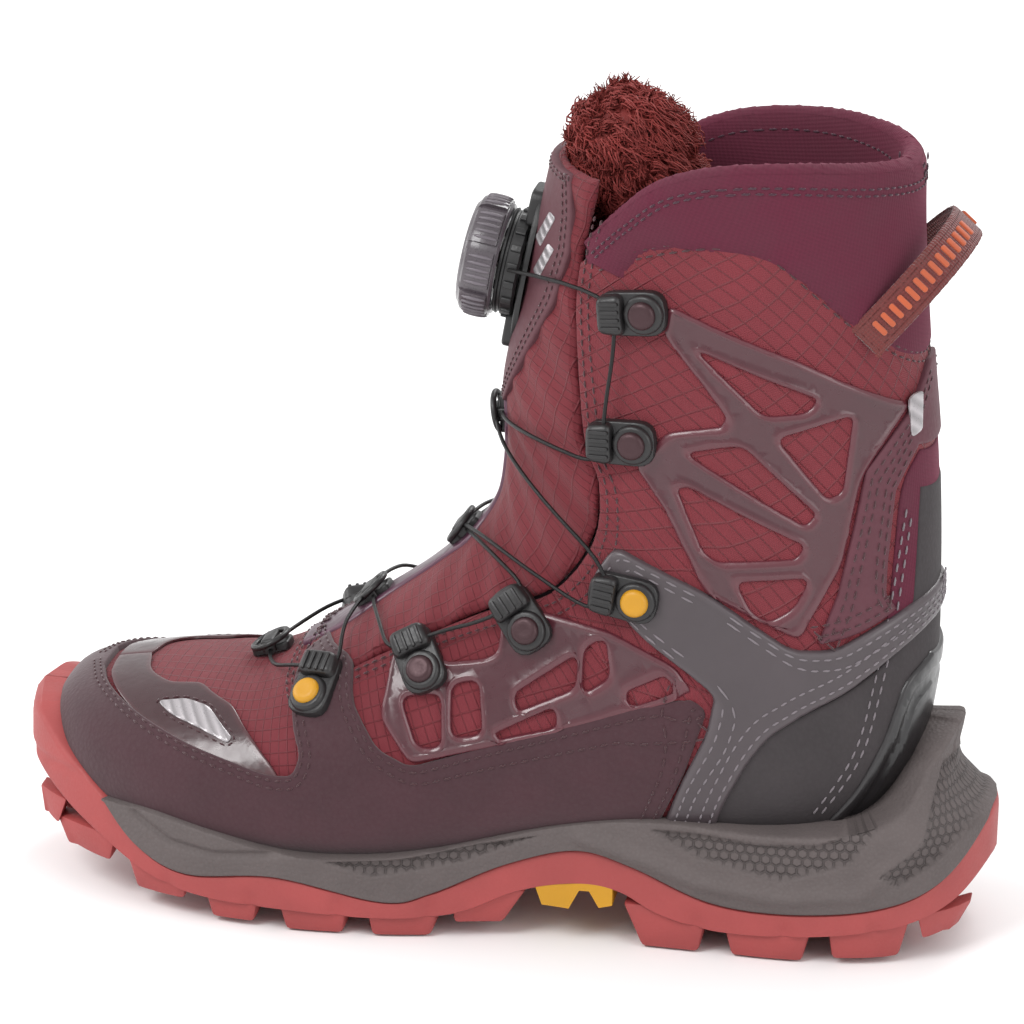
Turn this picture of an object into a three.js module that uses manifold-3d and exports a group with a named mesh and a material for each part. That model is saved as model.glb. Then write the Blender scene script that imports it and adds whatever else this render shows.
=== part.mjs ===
// A left winter hiking boot with a wire lacing closure wound by a dial on the tongue.
// Millimetres, +Z up. The toe points along -X, the outer (lateral) side faces -Y,
// and the lugs of the outsole stand on z = 0.
import * as THREE from 'three';
import { mergeVertices } from 'three/addons/utils/BufferGeometryUtils.js';
import Module from 'manifold-3d';

const wasm = await Module();
wasm.setup();

// ---- Overall sizes ----
const BOOT_LENGTH = 297;
const SOLE_WIDTH = 108;
const COLLAR_HEIGHT = 241;
const TOE_SWING = 6;

// ---- Walls and layers, outward from the boot body's skin ----
const GAP = 0.3;
const UPPER_WALL = 3;
const LINING_WALL = 2.6;
const COLLAR_WALL = 7;
const PANEL_WALL = 1.5;
const FILM_WALL = 0.6;
const SADDLE_WALL = 2.6;
const STRAP_WALL = 2;
const CLIP_WALL = 2.6;
const CUP_WALL = 8;
const CUP_FROM = 41;
const BUMPER_FROM = 33;
const TONGUE_WALL = 4;
const BOARD_WALL = 1.6;
const FOOTBED_WALL = 4.5;
const FUR_HALF_WIDTH = 21;

// ---- Lacing hardware ----
const LACE_RADIUS = 0.6;
const LACE_CLEARANCE = 0.4;
const GUIDE_LENGTH = 21;
const GUIDE_WIDTH = 13.5;
const GUIDE_HEIGHT = 5.4;
const RIVET_HEAD_RADIUS = 4;
const RIVET_HEAD_HEIGHT = 1.6;
const RIVET_SHANK_RADIUS = 1.8;
const KEEPER_LENGTH = 12;
const KEEPER_WIDTH = 9;
const KEEPER_HEIGHT = 5.8;

// ---- Dial reel ----
const KNOB_RADIUS = 18;
const KNOB_DEPTH = 11.5;
const KNOB_WALL = 2.4;
const KNOB_RIBS = 20;
const HOUSING_RADIUS = 16;
const HOUSING_DEPTH = 6.2;
const HOUSING_WALL = 2;
const SPOOL_RADIUS = HOUSING_RADIUS - HOUSING_WALL - 1;
const AXLE_RADIUS = 2.6;
const REEL_BASE_TOP = 2.2;
const REEL_HEIGHT = 196;

// ---- Pull loop and shank ----
const WEBBING_WIDTH = 11.5;
const WEBBING_WALL = 1.8;
const PULL_LOOP_REACH = 40;
const SHANK_LENGTH = 92;
const SHANK_WIDTH = 22;
const SHANK_WALL = 2;

// The drawing sizes that the outlines below are written for.
const scaleX = BOOT_LENGTH / 297;
const scaleY = SOLE_WIDTH / 108;
const scaleZ = COLLAR_HEIGHT / 241;

// Cross-sections of the boot body from the toe to above the collar. Each runs from a
// front point on the instep to a back point on the sole or heel, with its half width
// and where along it the widest place lies.
const SECTIONS = [
  { front: [-138, 51], back: [-138, 36], half: 12, widest: 0.55 },
  { front: [-133, 58], back: [-134, 30], half: 24, widest: 0.6 },
  { front: [-123, 62], back: [-124, 27], half: 35, widest: 0.62 },
  { front: [-107, 65], back: [-107, 23], half: 44, widest: 0.65 },
  { front: [-88, 67], back: [-88, 20.5], half: 49.5, widest: 0.68 },
  { front: [-72, 69.5], back: [-64, 19], half: 51.5, widest: 0.7 },
  { front: [-55, 79], back: [-36, 18.5], half: 51.5, widest: 0.7 },
  { front: [-38, 91], back: [-8, 21], half: 49, widest: 0.7 },
  { front: [-22, 103], back: [18, 26], half: 46, widest: 0.68 },
  { front: [-10, 115], back: [48, 28], half: 43.5, widest: 0.64 },
  { front: [-3, 126], back: [78, 28], half: 42, widest: 0.6 },
  { front: [-1, 138], back: [105, 33], half: 41, widest: 0.56 },
  { front: [-1, 150], back: [122, 52], half: 40.5, widest: 0.53 },
  { front: [-1.5, 161], back: [128, 80], half: 40.5, widest: 0.5 },
  { front: [0, 173], back: [128, 110], half: 40.5, widest: 0.5 },
  { front: [4, 191], back: [126, 145], half: 40, widest: 0.5 },
  { front: [8, 214], back: [122, 180], half: 40, widest: 0.5 },
  { front: [11, 230], back: [119, 212], half: 41, widest: 0.5 },
  { front: [14, 244], back: [118, 240], half: 42, widest: 0.5 },
  { front: [18, 268], back: [119, 268], half: 42, widest: 0.5 },
];
const TOP_SECTION = SECTIONS.length - 1;
const AROUND = 22;

// ---- Outlines in the side view, [x, z] ----
const SOLE_SEAM = [
  [-128, 61], [-133, 53], [-132, 44], [-115, 32], [-104, 20.5], [-88, 14.5], [-60, 17.3],
  [-28, 11.5], [-14, 14.5], [8, 24.6], [29, 30], [46, 26], [68, 17.2], [90, 15.4],
  [118, 18], [136, 25], [149, 41.5],
];
const MIDSOLE_TOP = [
  [-115, 32.6], [-99, 32.5], [-79, 29], [-58, 25], [-38, 25], [-15, 28], [24, 37.5], [54, 41],
  [82, 40], [106, 41.5], [120, 47], [128, 56], [133, 69], [137, 78],
];
const MIDSOLE_BACK = [[140, 73], [142, 60], [148, 54], [149.5, 47]];
const TREAD_BOTTOM = [
  [-146, 37], [-134, 29], [-118, 20], [-98, 11], [-80, 7.5], [-58, 6.5], [-28, 6], [-6, 8],
  [12, 17], [29, 22], [42, 19], [54, 11], [72, 7.5], [100, 8.5], [126, 12], [140, 17], [149, 25],
];
const LUGS = [
  { base: [-147, -132], foot: [-145, -138], bottom: 20.5, top: 40 },
  { base: [-134, -112], foot: [-130, -114], bottom: 12, top: 28 },
  { base: [-108, -87], foot: [-105, -89], bottom: 5.5, top: 17 },
  { base: [-83, -65], foot: [-80, -67], bottom: 1.2, top: 13 },
  { base: [-60, -38], foot: [-57, -40], bottom: 0, top: 12 },
  { base: [-33, -11], foot: [-31, -14], bottom: 0, top: 11 },
  { base: [-8, 14], foot: [-7, 7], bottom: 4.5, top: 17 },
  { base: [43, 69], foot: [49, 66], bottom: 0, top: 14 },
  { base: [73, 100], foot: [76, 97], bottom: 0, top: 13 },
  { base: [104, 128], foot: [106, 125], bottom: 1.5, top: 15 },
  { base: [131, 150], foot: [133, 143], bottom: 7, top: 26 },
];
const SOLE_PLAN = [
  [-148, 0], [-144, 18], [-134, 31], [-117, 42], [-92, 51], [-60, 54], [-28, 52], [5, 46],
  [32, 43], [62, 43.5], [96, 44.5], [122, 40], [139, 28], [148, 12], [150, 0],
];
const THROAT_EDGE = [
  [-61, 84], [-58, 69], [-45, 76], [-31, 84], [-2, 99], [18, 107], [30, 124], [31, 142],
  [26, 155], [22, 190], [23, 208], [26, 224], [30, 268],
];
const QUARTER_TOP = [[-10, 207], [25, 208], [43, 216], [66, 221], [82, 217], [103, 198], [120, 184], [140, 179]];
const COLLAR_RIM = [[-10, 208], [22, 212], [31, 222], [44, 233], [62, 239], [86, 241], [108, 240], [140, 237]];
const RAND_TOP = [
  [-150, 62], [-124, 62], [-107, 57], [-91, 53], [-64, 47.5], [-56, 48], [-54, 54], [-57, 60],
  [-60, 70], [-60, 82], [-40, 82], [-40, 70], [-31, 58], [-21, 53.5], [0, 60.5], [23, 68],
  [46, 76], [61, 79.5], [66, 76], [60, 56], [50, 36], [50, 0], [-150, 0],
];
const FILM_BAND = [[-121, 61], [-107, 56.6], [-91, 52.6], [-63, 47.3], [-66, 45], [-78, 45], [-92, 47], [-110, 52], [-121, 58]];
const REFLECTOR = [[-102, 60], [-93, 61.5], [-85, 61], [-76, 55.5], [-77, 54], [-87, 56.5], [-96, 58]];
const ANKLE_WEB = [
  [50, 198], [66, 191.5], [89, 183], [119, 168], [110, 153], [107, 147], [103, 122], [92, 99],
  [64, 112], [51, 137], [42, 149], [51, 160], [67, 163], [68, 166], [49, 189],
];
const ANKLE_WINDOWS = [
  [[59, 185], [94, 172], [91, 168], [79, 166.5]],
  [[83, 160], [104, 167], [102, 144], [98, 142]],
  [[57, 154], [73, 157.5], [95, 137.5], [92, 134]],
  [[55, 143], [58, 144], [92, 128], [90, 124], [67, 122], [63, 125]],
  [[73, 116], [94, 118], [90, 109], [83, 104.5], [78, 107]],
];
const FOREFOOT_WEB = [
  [-31, 67], [-21, 54.5], [6, 61.5], [34, 69.5], [62, 81], [56, 89], [36, 98], [17, 101],
  [4, 102], [3, 88], [-1, 86], [-13, 83.5], [-19, 89], [-29, 84.5],
];
const FOREFOOT_WINDOWS = [
  [[-25, 73], [-13, 75], [-12, 60], [-19, 59.5]],
  [[-10, 78], [-2, 80], [0, 64.5], [-9, 63]],
  [[4, 65], [21, 74], [22, 68], [5, 63.5]],
  [[9, 77], [27, 90], [27, 80], [10, 72]],
  [[29, 92], [35, 95.5], [37, 84], [29, 78.5]],
  [[42, 80], [54, 86], [56, 80.5], [43, 75.5]],
];
const SADDLE = [
  [37, 124], [46, 120], [65, 112], [90, 96], [102, 96], [123, 108], [132, 112], [132, 104],
  [117, 92], [106, 83], [95, 77], [84, 69], [78, 60], [72, 48], [68, 38], [53, 38], [59, 53],
  [66, 69], [68, 81], [63, 85], [46, 97], [30, 113],
];
const HEEL_PANEL = [
  [60, 30], [66, 50], [84, 70], [106, 83], [117, 92], [122, 102], [122.5, 142], [140, 142], [140, 30],
];
const HEEL_STRAP = [
  [140, 181], [122, 178], [119, 166.5], [108, 150], [106, 136], [102, 113], [97, 98], [118, 107],
  [115, 112], [115, 122], [116, 143], [121, 155], [140, 160],
];
const HEEL_CLIP = [[106, 38], [117, 52], [123.5, 68], [126, 84], [131, 89], [142, 89], [142, 38]];
const FUR = [[12, 222], [14, 240], [24, 252], [37, 257], [50, 251], [56, 238], [52, 224], [44, 214], [24, 212]];

// What the ankle-most forefoot guide stands off by, so that the tongue clears its nose.
const TONGUE_SWING_ROOM = 0.5;
// Places and nose directions of the lace guides, in the side view.
const GUIDES = [
  { at: [43, 195], nose: 186, base: PANEL_WALL },
  { at: [41, 156], nose: 182, base: PANEL_WALL },
  { at: [43.5, 109], nose: 172, base: SADDLE_WALL },
  { at: [11.5, 96], nose: 128, base: PANEL_WALL, lift: TONGUE_SWING_ROOM },
  { at: [-19, 81], nose: 119, base: PANEL_WALL },
  { at: [-52, 69], nose: 96, base: PANEL_WALL },
];
// Heights on the tongue's centre line where the lace crosses, from the ankle down.
const KEEPERS = [12.1, 8.75, 6.85];
const HOOK_SECTION = 5.1;

// ---- Colours ----
const CRIMSON = 0x8b3e45;
const MAROON = 0x5b3b42;
const PLUM = 0x653248;
const GREY = 0x5f575c;
const BLACK = 0x232122;
const RED_RUBBER = 0xb25a59;
const YELLOW = 0xe0a629;

// ---- Solids: from three.js geometry to a cuttable solid and back ----
function solidOf(geometry) {
  const bare = geometry.clone();
  bare.deleteAttribute('normal');
  bare.deleteAttribute('uv');
  const merged = mergeVertices(bare, 1e-4);
  const mesh = new wasm.Mesh({
    numProp: 3,
    vertProperties: Float32Array.from(merged.attributes.position.array),
    triVerts: Uint32Array.from(merged.index.array),
  });
  return new wasm.Manifold(mesh);
}

function geometryOf(solid) {
  const mesh = solid.getMesh();
  const geometry = new THREE.BufferGeometry();
  geometry.setAttribute('position', new THREE.BufferAttribute(Float32Array.from(mesh.vertProperties), 3));
  geometry.setIndex(new THREE.BufferAttribute(Uint32Array.from(mesh.triVerts), 1));
  return geometry;
}

// The same solid on the other side of the boot's middle plane.
function otherSide(solid) {
  const geometry = geometryOf(solid);
  geometry.scale(1, -1, 1);
  const order = geometry.index.array;
  for (let i = 0; i < order.length; i += 3) {
    [order[i], order[i + 1]] = [order[i + 1], order[i]];
  }
  return solidOf(geometry);
}

// ---- The boot body's skin ----
function section(t) {
  const clamped = THREE.MathUtils.clamp(t, 0, TOP_SECTION);
  const low = Math.min(Math.floor(clamped), TOP_SECTION - 1);
  const a = SECTIONS[low];
  const b = SECTIONS[low + 1];
  const blend = (p, q) => THREE.MathUtils.lerp(p, q, clamped - low);
  return {
    front: [blend(a.front[0], b.front[0]) * scaleX, blend(a.front[1], b.front[1]) * scaleZ],
    back: [blend(a.back[0], b.back[0]) * scaleX, blend(a.back[1], b.back[1]) * scaleZ],
    half: blend(a.half, b.half) * scaleY,
    widest: blend(a.widest, b.widest),
    fullness: THREE.MathUtils.lerp(3.2, 2.3, THREE.MathUtils.smoothstep(clamped, 10, 14)),
  };
}

function skinPoint(t, angle) {
  const s = section(t);
  const forward = Math.cos(angle);
  const n = forward > 0 ? 2.3 : s.fullness;
  const along = forward > 0
    ? s.widest * (1 - forward ** (2 / n))
    : s.widest + (1 - s.widest) * (-forward) ** (2 / n);
  const out = Math.sign(Math.sin(angle)) * Math.abs(Math.sin(angle)) ** (2 / n);
  return new THREE.Vector3(
    THREE.MathUtils.lerp(s.front[0], s.back[0], along),
    -s.half * out,
    THREE.MathUtils.lerp(s.front[1], s.back[1], along),
  );
}

function skinNormal(t, angle) {
  const up = skinPoint(Math.min(t + 0.3, TOP_SECTION), angle).sub(skinPoint(Math.max(t - 0.3, 0), angle));
  const round = skinPoint(t, angle + 0.12).sub(skinPoint(t, angle - 0.12));
  return round.cross(up).normalize();
}

function bodyPoint(t, angle, offset) {
  return skinPoint(t, angle).addScaledVector(skinNormal(t, angle), offset);
}

const bodies = new Map();
function body(offset) {
  if (!bodies.has(offset)) {
    const geometry = new THREE.CylinderGeometry(1, 1, 1, AROUND, TOP_SECTION, false);
    const position = geometry.attributes.position;
    for (let i = 0; i < position.count; i += 1) {
      const radius = Math.hypot(position.getX(i), position.getZ(i));
      const t = Math.round((position.getY(i) + 0.5) * TOP_SECTION);
      const angle = Math.atan2(position.getX(i), position.getZ(i));
      const middle = bodyPoint(t, 0, offset).lerp(bodyPoint(t, Math.PI, offset), 0.5);
      const point = radius > 0.5 ? bodyPoint(t, angle, offset) : middle;
      position.setXYZ(i, point.x, point.y, point.z);
    }
    bodies.set(offset, solidOf(geometry));
  }
  return bodies.get(offset);
}

function band(inner, outer) {
  return body(outer).subtract(body(inner));
}

// Where on the skin's outer side a point of the side view lies.
function locate(x, z) {
  let best = { miss: Infinity };
  for (let i = 0; i <= 380; i += 1) {
    for (let j = 0; j <= 90; j += 1) {
      const t = (i / 380) * (TOP_SECTION - 1);
      const angle = (j / 90) * Math.PI;
      const point = skinPoint(t, angle);
      const miss = Math.hypot(point.x - x, point.z - z);
      if (miss < best.miss) {
        best = { t, angle, miss };
      }
    }
  }
  return best;
}

// ---- Outlines ----
function scaled(points) {
  return points.map(([x, z]) => new THREE.Vector2(x * scaleX, z * scaleZ));
}

function smooth(points, steps) {
  return new THREE.SplineCurve(scaled(points)).getPoints(steps);
}

function rounded(points, radius) {
  const corners = scaled(points);
  const shape = new THREE.Shape();
  corners.forEach((corner, i) => {
    const before = corners[(i + corners.length - 1) % corners.length];
    const after = corners[(i + 1) % corners.length];
    const inward = before.clone().sub(corner);
    const outward = after.clone().sub(corner);
    const cut = Math.min(radius, inward.length() * 0.4, outward.length() * 0.4);
    const start = corner.clone().addScaledVector(inward.normalize(), cut);
    const end = corner.clone().addScaledVector(outward.normalize(), cut);
    if (i === 0) {
      shape.moveTo(start.x, start.y);
    } else {
      shape.lineTo(start.x, start.y);
    }
    shape.quadraticCurveTo(corner.x, corner.y, end.x, end.y);
  });
  shape.closePath();
  return shape.getPoints(1);
}

// Moves an outline's edges outward by a clearance.
function grown(points, clearance) {
  const sign = THREE.ShapeUtils.area(points) > 0 ? 1 : -1;
  return points.map((point, i) => {
    const before = point.clone().sub(points[(i + points.length - 1) % points.length]).normalize();
    const after = points[(i + 1) % points.length].clone().sub(point).normalize();
    const normal = new THREE.Vector2(before.y + after.y, -before.x - after.x);
    if (normal.length() < 0.2) {
      return point.clone();
    }
    normal.normalize();
    return point.clone().addScaledVector(normal, sign * clearance);
  });
}

function sidePrism(points, fromY = -90, toY = 90) {
  const options = { depth: toY - fromY, bevelEnabled: false };
  const geometry = new THREE.ExtrudeGeometry(new THREE.Shape(points), options);
  geometry.rotateX(Math.PI / 2);
  geometry.translate(0, toY, 0);
  return solidOf(geometry);
}

function planPrism(points, fromZ, toZ) {
  const options = { depth: toZ - fromZ, bevelEnabled: false };
  const geometry = new THREE.ExtrudeGeometry(new THREE.Shape(points), options);
  geometry.translate(0, 0, fromZ);
  return solidOf(geometry);
}

function corner(x, z) {
  return new THREE.Vector2(x * scaleX, z * scaleZ);
}

// ---- Zones that several pieces share ----
const midsoleTop = smooth(MIDSOLE_TOP, 22);
const midsoleBack = scaled(MIDSOLE_BACK);
const soleSeam = smooth(SOLE_SEAM, 30);
const bumperEdge = soleSeam.filter((point) => point.x < midsoleTop[0].x);

function soleZone(clearance) {
  const edge = [...bumperEdge, ...midsoleTop, ...midsoleBack];
  const zone = [corner(-160, 61), ...edge, corner(160, 47), corner(160, -20), corner(-160, -20)];
  return sidePrism(grown(zone, clearance));
}

function belowLine(points, drop) {
  const line = smooth(points, 12).map((point) => new THREE.Vector2(point.x, point.y - drop));
  return sidePrism([corner(-200, points[0][1]), ...line, corner(200, 179), corner(200, -30), corner(-200, -30)]);
}

function throatPoints() {
  return [...smooth(THROAT_EDGE, 16), corner(-90, 268), corner(-130, 130)];
}

const overlayFloor = soleZone(GAP + 0.2);
const throat = sidePrism(throatPoints());
const quarterZone = belowLine(QUARTER_TOP, 0);
const collarZone = belowLine(COLLAR_RIM, 0);
const saddleOutline = rounded(SADDLE, 4);
const strapOutline = rounded(HEEL_STRAP, 3);
const clipOutline = rounded(HEEL_CLIP, 3);
const forefootOutline = rounded(FOREFOOT_WEB, 3);

function cutBy(outline) {
  return sidePrism(grown(outline, GAP + 0.1));
}

// ---- Assembly ----
const boot = new THREE.Group();
boot.name = 'winter_hiking_boot';

// The sole line curves inward towards the toe, as a left foot does.
function swing(geometry) {
  const position = geometry.attributes.position;
  const reach = BOOT_LENGTH / 2;
  for (let i = 0; i < position.count; i += 1) {
    const share = Math.max(0, -position.getX(i) - 20) / (reach - 20);
    position.setY(i, position.getY(i) + TOE_SWING * share * share);
  }
  return geometry;
}

function add(name, solid, color, roughness, metalness = 0) {
  const material = new THREE.MeshStandardMaterial({ color, roughness, metalness });
  const mesh = new THREE.Mesh(swing(geometryOf(solid)), material);
  mesh.name = name;
  boot.add(mesh);
}

function addPair(name, solid, color, roughness, metalness = 0) {
  add(`${name}_outer`, half(solid, -1), color, roughness, metalness);
  add(`${name}_inner`, half(solid, 1), color, roughness, metalness);
}

function largest(solid) {
  const pieces = solid.decompose();
  return pieces.reduce((best, piece) => (piece.volume() > best.volume() ? piece : best));
}

// ---- Sole unit ----
function planOutline(inset) {
  const half = new THREE.SplineCurve(SOLE_PLAN.map(([x, y]) => new THREE.Vector2(x, y))).getPoints(18);
  const side = half.map((point) => new THREE.Vector2(point.x * scaleX, point.y * scaleY));
  const round = [...side.map((point) => new THREE.Vector2(point.x, -point.y)), ...side.slice(1, -1).reverse()];
  return grown(round, -inset);
}

// The sole's full plan low down, and a wall that hugs the body above the given height.
function soleEnvelope(inset, hugFrom) {
  const plan = planPrism(planOutline(inset), -20, 120);
  const low = planPrism(scaled([[-200, -200], [200, -200], [200, 200], [-200, 200]]), -20, hugFrom * scaleZ);
  return plan.intersect(low.add(body(CUP_WALL)));
}

function addMidsole() {
  const lower = soleSeam.filter((point) => point.x >= midsoleTop[0].x);
  const profile = [...midsoleTop, ...midsoleBack, ...lower.slice().reverse().slice(1)];
  let solid = sidePrism(profile).intersect(soleEnvelope(1, CUP_FROM));
  solid = solid.subtract(body(GAP));
  add('midsole', largest(solid), GREY, 0.85);
}

function addOutsole() {
  const lowered = soleSeam.map((point) => new THREE.Vector2(point.x, point.y - GAP));
  const sheet = [...lowered, ...smooth(TREAD_BOTTOM, 20).reverse()];
  let solid = sidePrism(sheet);
  for (const lug of LUGS) {
    const profile = scaled([
      [lug.base[0], lug.top], [lug.foot[0], lug.bottom], [lug.foot[1], lug.bottom], [lug.base[1], lug.top],
    ]);
    const cover = sidePrism([...lowered, corner(149, -5), corner(-160, -5), corner(-160, 40)]);
    for (const [fromY, toY] of [[-60, -27], [-22, -2.5], [2.5, 22], [27, 60]]) {
      solid = solid.add(sidePrism(profile, fromY * scaleY, toY * scaleY).intersect(cover));
    }
  }
  solid = solid.intersect(soleEnvelope(0, BUMPER_FROM)).subtract(body(GAP));
  solid = solid.subtract(archInsertSolid(GAP));
  add('outsole', largest(solid), RED_RUBBER, 0.75);
}

function archInsertSolid(clearance) {
  const plate = grown(scaled([[15, 23.2], [40, 23.2], [40, 13], [36, 12], [33, 17], [30, 17], [27, 11], [19, 12]]), clearance);
  return sidePrism(plate, -60 * scaleY, (-24 + clearance) * scaleY);
}

function addArchInsert() {
  const inside = planPrism(planOutline(0), -20, 120);
  add('arch_insert', archInsertSolid(0).intersect(inside), YELLOW, 0.6);
}

// A layer of even height on the bottom of the space inside the boot.
function insideLayer(from, to) {
  const inner = body(-UPPER_WALL - LINING_WALL - GAP);
  const raised = (height) => {
    const geometry = geometryOf(inner);
    geometry.translate(0, 0, height);
    return solidOf(geometry);
  };
  const ceiling = scaled([
    [-150, 34], [-100, 31], [-30, 29], [10, 34], [50, 38], [104, 40], [118, 44], [118, 0], [-150, 0],
  ]);
  const low = ceiling.map((point) => new THREE.Vector2(point.x, point.y + to - 4));
  return largest(raised(from).intersect(sidePrism(low)).subtract(raised(to)).intersect(inner));
}

// The shank is a strip let into the footbed's underside, along the arch.
function shankSolid(clearance) {
  const from = -18 * scaleX - clearance;
  const to = from + SHANK_LENGTH + 2 * clearance;
  const side = SHANK_WIDTH / 2 + clearance;
  const plan = [[from, -side], [to, -side], [to, side], [from, side]].map(([x, y]) => new THREE.Vector2(x, y));
  const low = BOARD_WALL + GAP - clearance;
  return insideLayer(low, low + SHANK_WALL + 2 * clearance).intersect(planPrism(plan, 0, 100));
}

function addInnerSole() {
  add('lasting_board', insideLayer(0, BOARD_WALL), 0xb59a78, 0.9);
  add('shank_plate', shankSolid(0), 0x9a9a9a, 0.4, 0.8);
  const bed = insideLayer(BOARD_WALL + GAP, BOARD_WALL + GAP + FOOTBED_WALL);
  add('footbed', largest(bed.subtract(shankSolid(GAP))), 0x3c3a3d, 0.95);
}

// ---- Upper ----
function addUpper() {
  const lining = band(-UPPER_WALL - LINING_WALL, -UPPER_WALL - GAP);
  const wall = band(-UPPER_WALL, 0);
  add('upper_shell', largest(wall.intersect(quarterZone).subtract(throat)), CRIMSON, 0.8);
  add('inner_lining', largest(lining.intersect(quarterZone).subtract(throat)), PLUM, 0.95);
  const padded = band(-COLLAR_WALL, GAP).intersect(collarZone).subtract(belowLine(QUARTER_TOP, -GAP));
  const wideThroat = sidePrism(grown(throatPoints(), 0.5));
  add('collar', largest(padded.subtract(wideThroat)), PLUM, 0.95);
}

function panel(outline, wall, windows = []) {
  let solid = band(GAP, GAP + wall).intersect(sidePrism(outline));
  for (const window of windows) {
    solid = solid.subtract(sidePrism(rounded(window, 3)));
  }
  return solid.subtract(overlayFloor).subtract(throat);
}

// The part of a solid on one side of the middle plane: -1 is the outer side, 1 the inner side.
function half(solid, side) {
  const wall = scaled([[-200, -50], [200, -50], [200, 300], [-200, 300]]);
  return largest(solid.intersect(side < 0 ? sidePrism(wall, -90, -2) : sidePrism(wall, 2, 90)));
}

function addPanels() {
  const rand = panel(rounded(RAND_TOP, 3), PANEL_WALL).subtract(cutBy(saddleOutline)).subtract(cutBy(forefootOutline));
  add('toe_rand', largest(rand), MAROON, 0.9);
  const ankle = panel(rounded(ANKLE_WEB, 3), PANEL_WALL, ANKLE_WINDOWS).subtract(cutBy(saddleOutline));
  addPair('ankle_web', ankle.subtract(cutBy(strapOutline)), 0x6b3540, 0.4);
  const forefoot = panel(forefootOutline, PANEL_WALL, FOREFOOT_WINDOWS).subtract(cutBy(saddleOutline));
  addPair('forefoot_web', forefoot, 0x6b3540, 0.35);
  addPair('saddle', panel(saddleOutline, SADDLE_WALL), GREY, 0.6);
  const strap = panel(strapOutline, STRAP_WALL).subtract(cutBy(saddleOutline));
  add('heel_strap', largest(strap), 0x784854, 0.7);
  const heel = panel(rounded(HEEL_PANEL, 3), PANEL_WALL).subtract(cutBy(saddleOutline));
  add('heel_panel', largest(heel.subtract(cutBy(clipOutline)).subtract(cutBy(strapOutline))), 0x524c4e, 0.9);
  add('heel_clip', largest(panel(clipOutline, CLIP_WALL)), BLACK, 0.4);
}

function addToeTrim() {
  const top = 2 * GAP + PANEL_WALL;
  const film = band(top, top + FILM_WALL).intersect(sidePrism(rounded(FILM_BAND, 2))).subtract(overlayFloor);
  addPair('toe_film', film, 0x56353b, 0.25);
  const lens = band(GAP, GAP + PANEL_WALL).intersect(sidePrism(rounded(REFLECTOR, 2)));
  const clear = sidePrism(grown(rounded(RAND_TOP, 3), GAP));
  addPair('toe_reflector', lens.subtract(clear), 0xbbb0b2, 0.3);
}

// ---- Tongue ----
function addTongue() {
  const shape = sidePrism(grown(throatPoints(), -0.5));
  const top = sidePrism(scaled([[-200, 0], [200, 0], [200, 235], [-200, 235]]));
  add('tongue', largest(band(-TONGUE_WALL, 0).intersect(shape).intersect(top)), 0x83505c, 0.8);
  const inside = body(-TONGUE_WALL - GAP);
  const furHalf = FUR_HALF_WIDTH * scaleY;
  const fur = inside.intersect(sidePrism(smooth([...FUR, FUR[0]], 22), -furHalf, furHalf));
  add('tongue_fur', largest(fur), 0x7c2927, 1);
}

// ---- Lacing ----
function guideFrame(guide) {
  const spot = locate(guide.at[0] * scaleX, guide.at[1] * scaleZ);
  const normal = skinNormal(spot.t, spot.angle);
  const origin = bodyPoint(spot.t, spot.angle, guide.base + 2 * GAP);
  const angle = THREE.MathUtils.degToRad(guide.nose);
  const nose = new THREE.Vector3(Math.cos(angle), 0, Math.sin(angle));
  nose.addScaledVector(normal, -nose.dot(normal)).normalize();
  const across = normal.clone().cross(nose);
  return { origin, nose, across, normal };
}

function inFrame(geometry, frame) {
  const place = new THREE.Matrix4().makeBasis(frame.nose, frame.across, frame.normal);
  place.setPosition(frame.origin);
  return solidOf(geometry.applyMatrix4(place));
}

function guideBlank(guide) {
  const shape = new THREE.Shape();
  const half = GUIDE_WIDTH / 2;
  const rear = -GUIDE_LENGTH * 0.36;
  const front = GUIDE_LENGTH * 0.64;
  shape.moveTo(rear + 3, -half);
  shape.lineTo(front - 5, -half);
  shape.quadraticCurveTo(front, -half, front, 0);
  shape.quadraticCurveTo(front, half, front - 5, half);
  shape.lineTo(rear + 3, half);
  shape.quadraticCurveTo(rear, half, rear, 0);
  shape.quadraticCurveTo(rear, -half, rear + 3, -half);
  const geometry = new THREE.ExtrudeGeometry(shape, {
    depth: GUIDE_HEIGHT + 3, bevelThickness: 1.4, bevelSize: 1.4, bevelOffset: -1.4, bevelSegments: 1, curveSegments: 1,
  });
  geometry.translate(0, 0, -4.4);
  return inFrame(geometry, guideFrame(guide));
}

function rivetSolid(guide, clearance) {
  const head = RIVET_HEAD_RADIUS;
  const shank = RIVET_SHANK_RADIUS + clearance;
  const seat = GUIDE_HEIGHT + GAP;
  const profile = [
    [0, 0.4 - clearance], [shank, 0.4 - clearance], [shank, seat], [head, seat],
    [head * 0.8, seat + RIVET_HEAD_HEIGHT * 0.8], [0, seat + RIVET_HEAD_HEIGHT],
  ];
  const geometry = new THREE.LatheGeometry(profile.map(([r, h]) => new THREE.Vector2(r, h)), 10);
  geometry.rotateX(Math.PI / 2);
  return inFrame(geometry, guideFrame(guide));
}

function guidePass(guide, side) {
  const frame = guideFrame(guide);
  const middle = frame.origin.clone();
  middle.addScaledVector(frame.nose, GUIDE_LENGTH * 0.36).addScaledVector(frame.normal, GUIDE_HEIGHT * 0.5);
  const reach = GUIDE_WIDTH / 2 + 0.6;
  const ends = [-reach, reach].map((distance) => middle.clone().addScaledVector(frame.across, distance));
  ends.sort((a, b) => b.x + b.z - a.x - a.z);
  return ends.map((point) => new THREE.Vector3(point.x, point.y * side, point.z));
}

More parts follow.
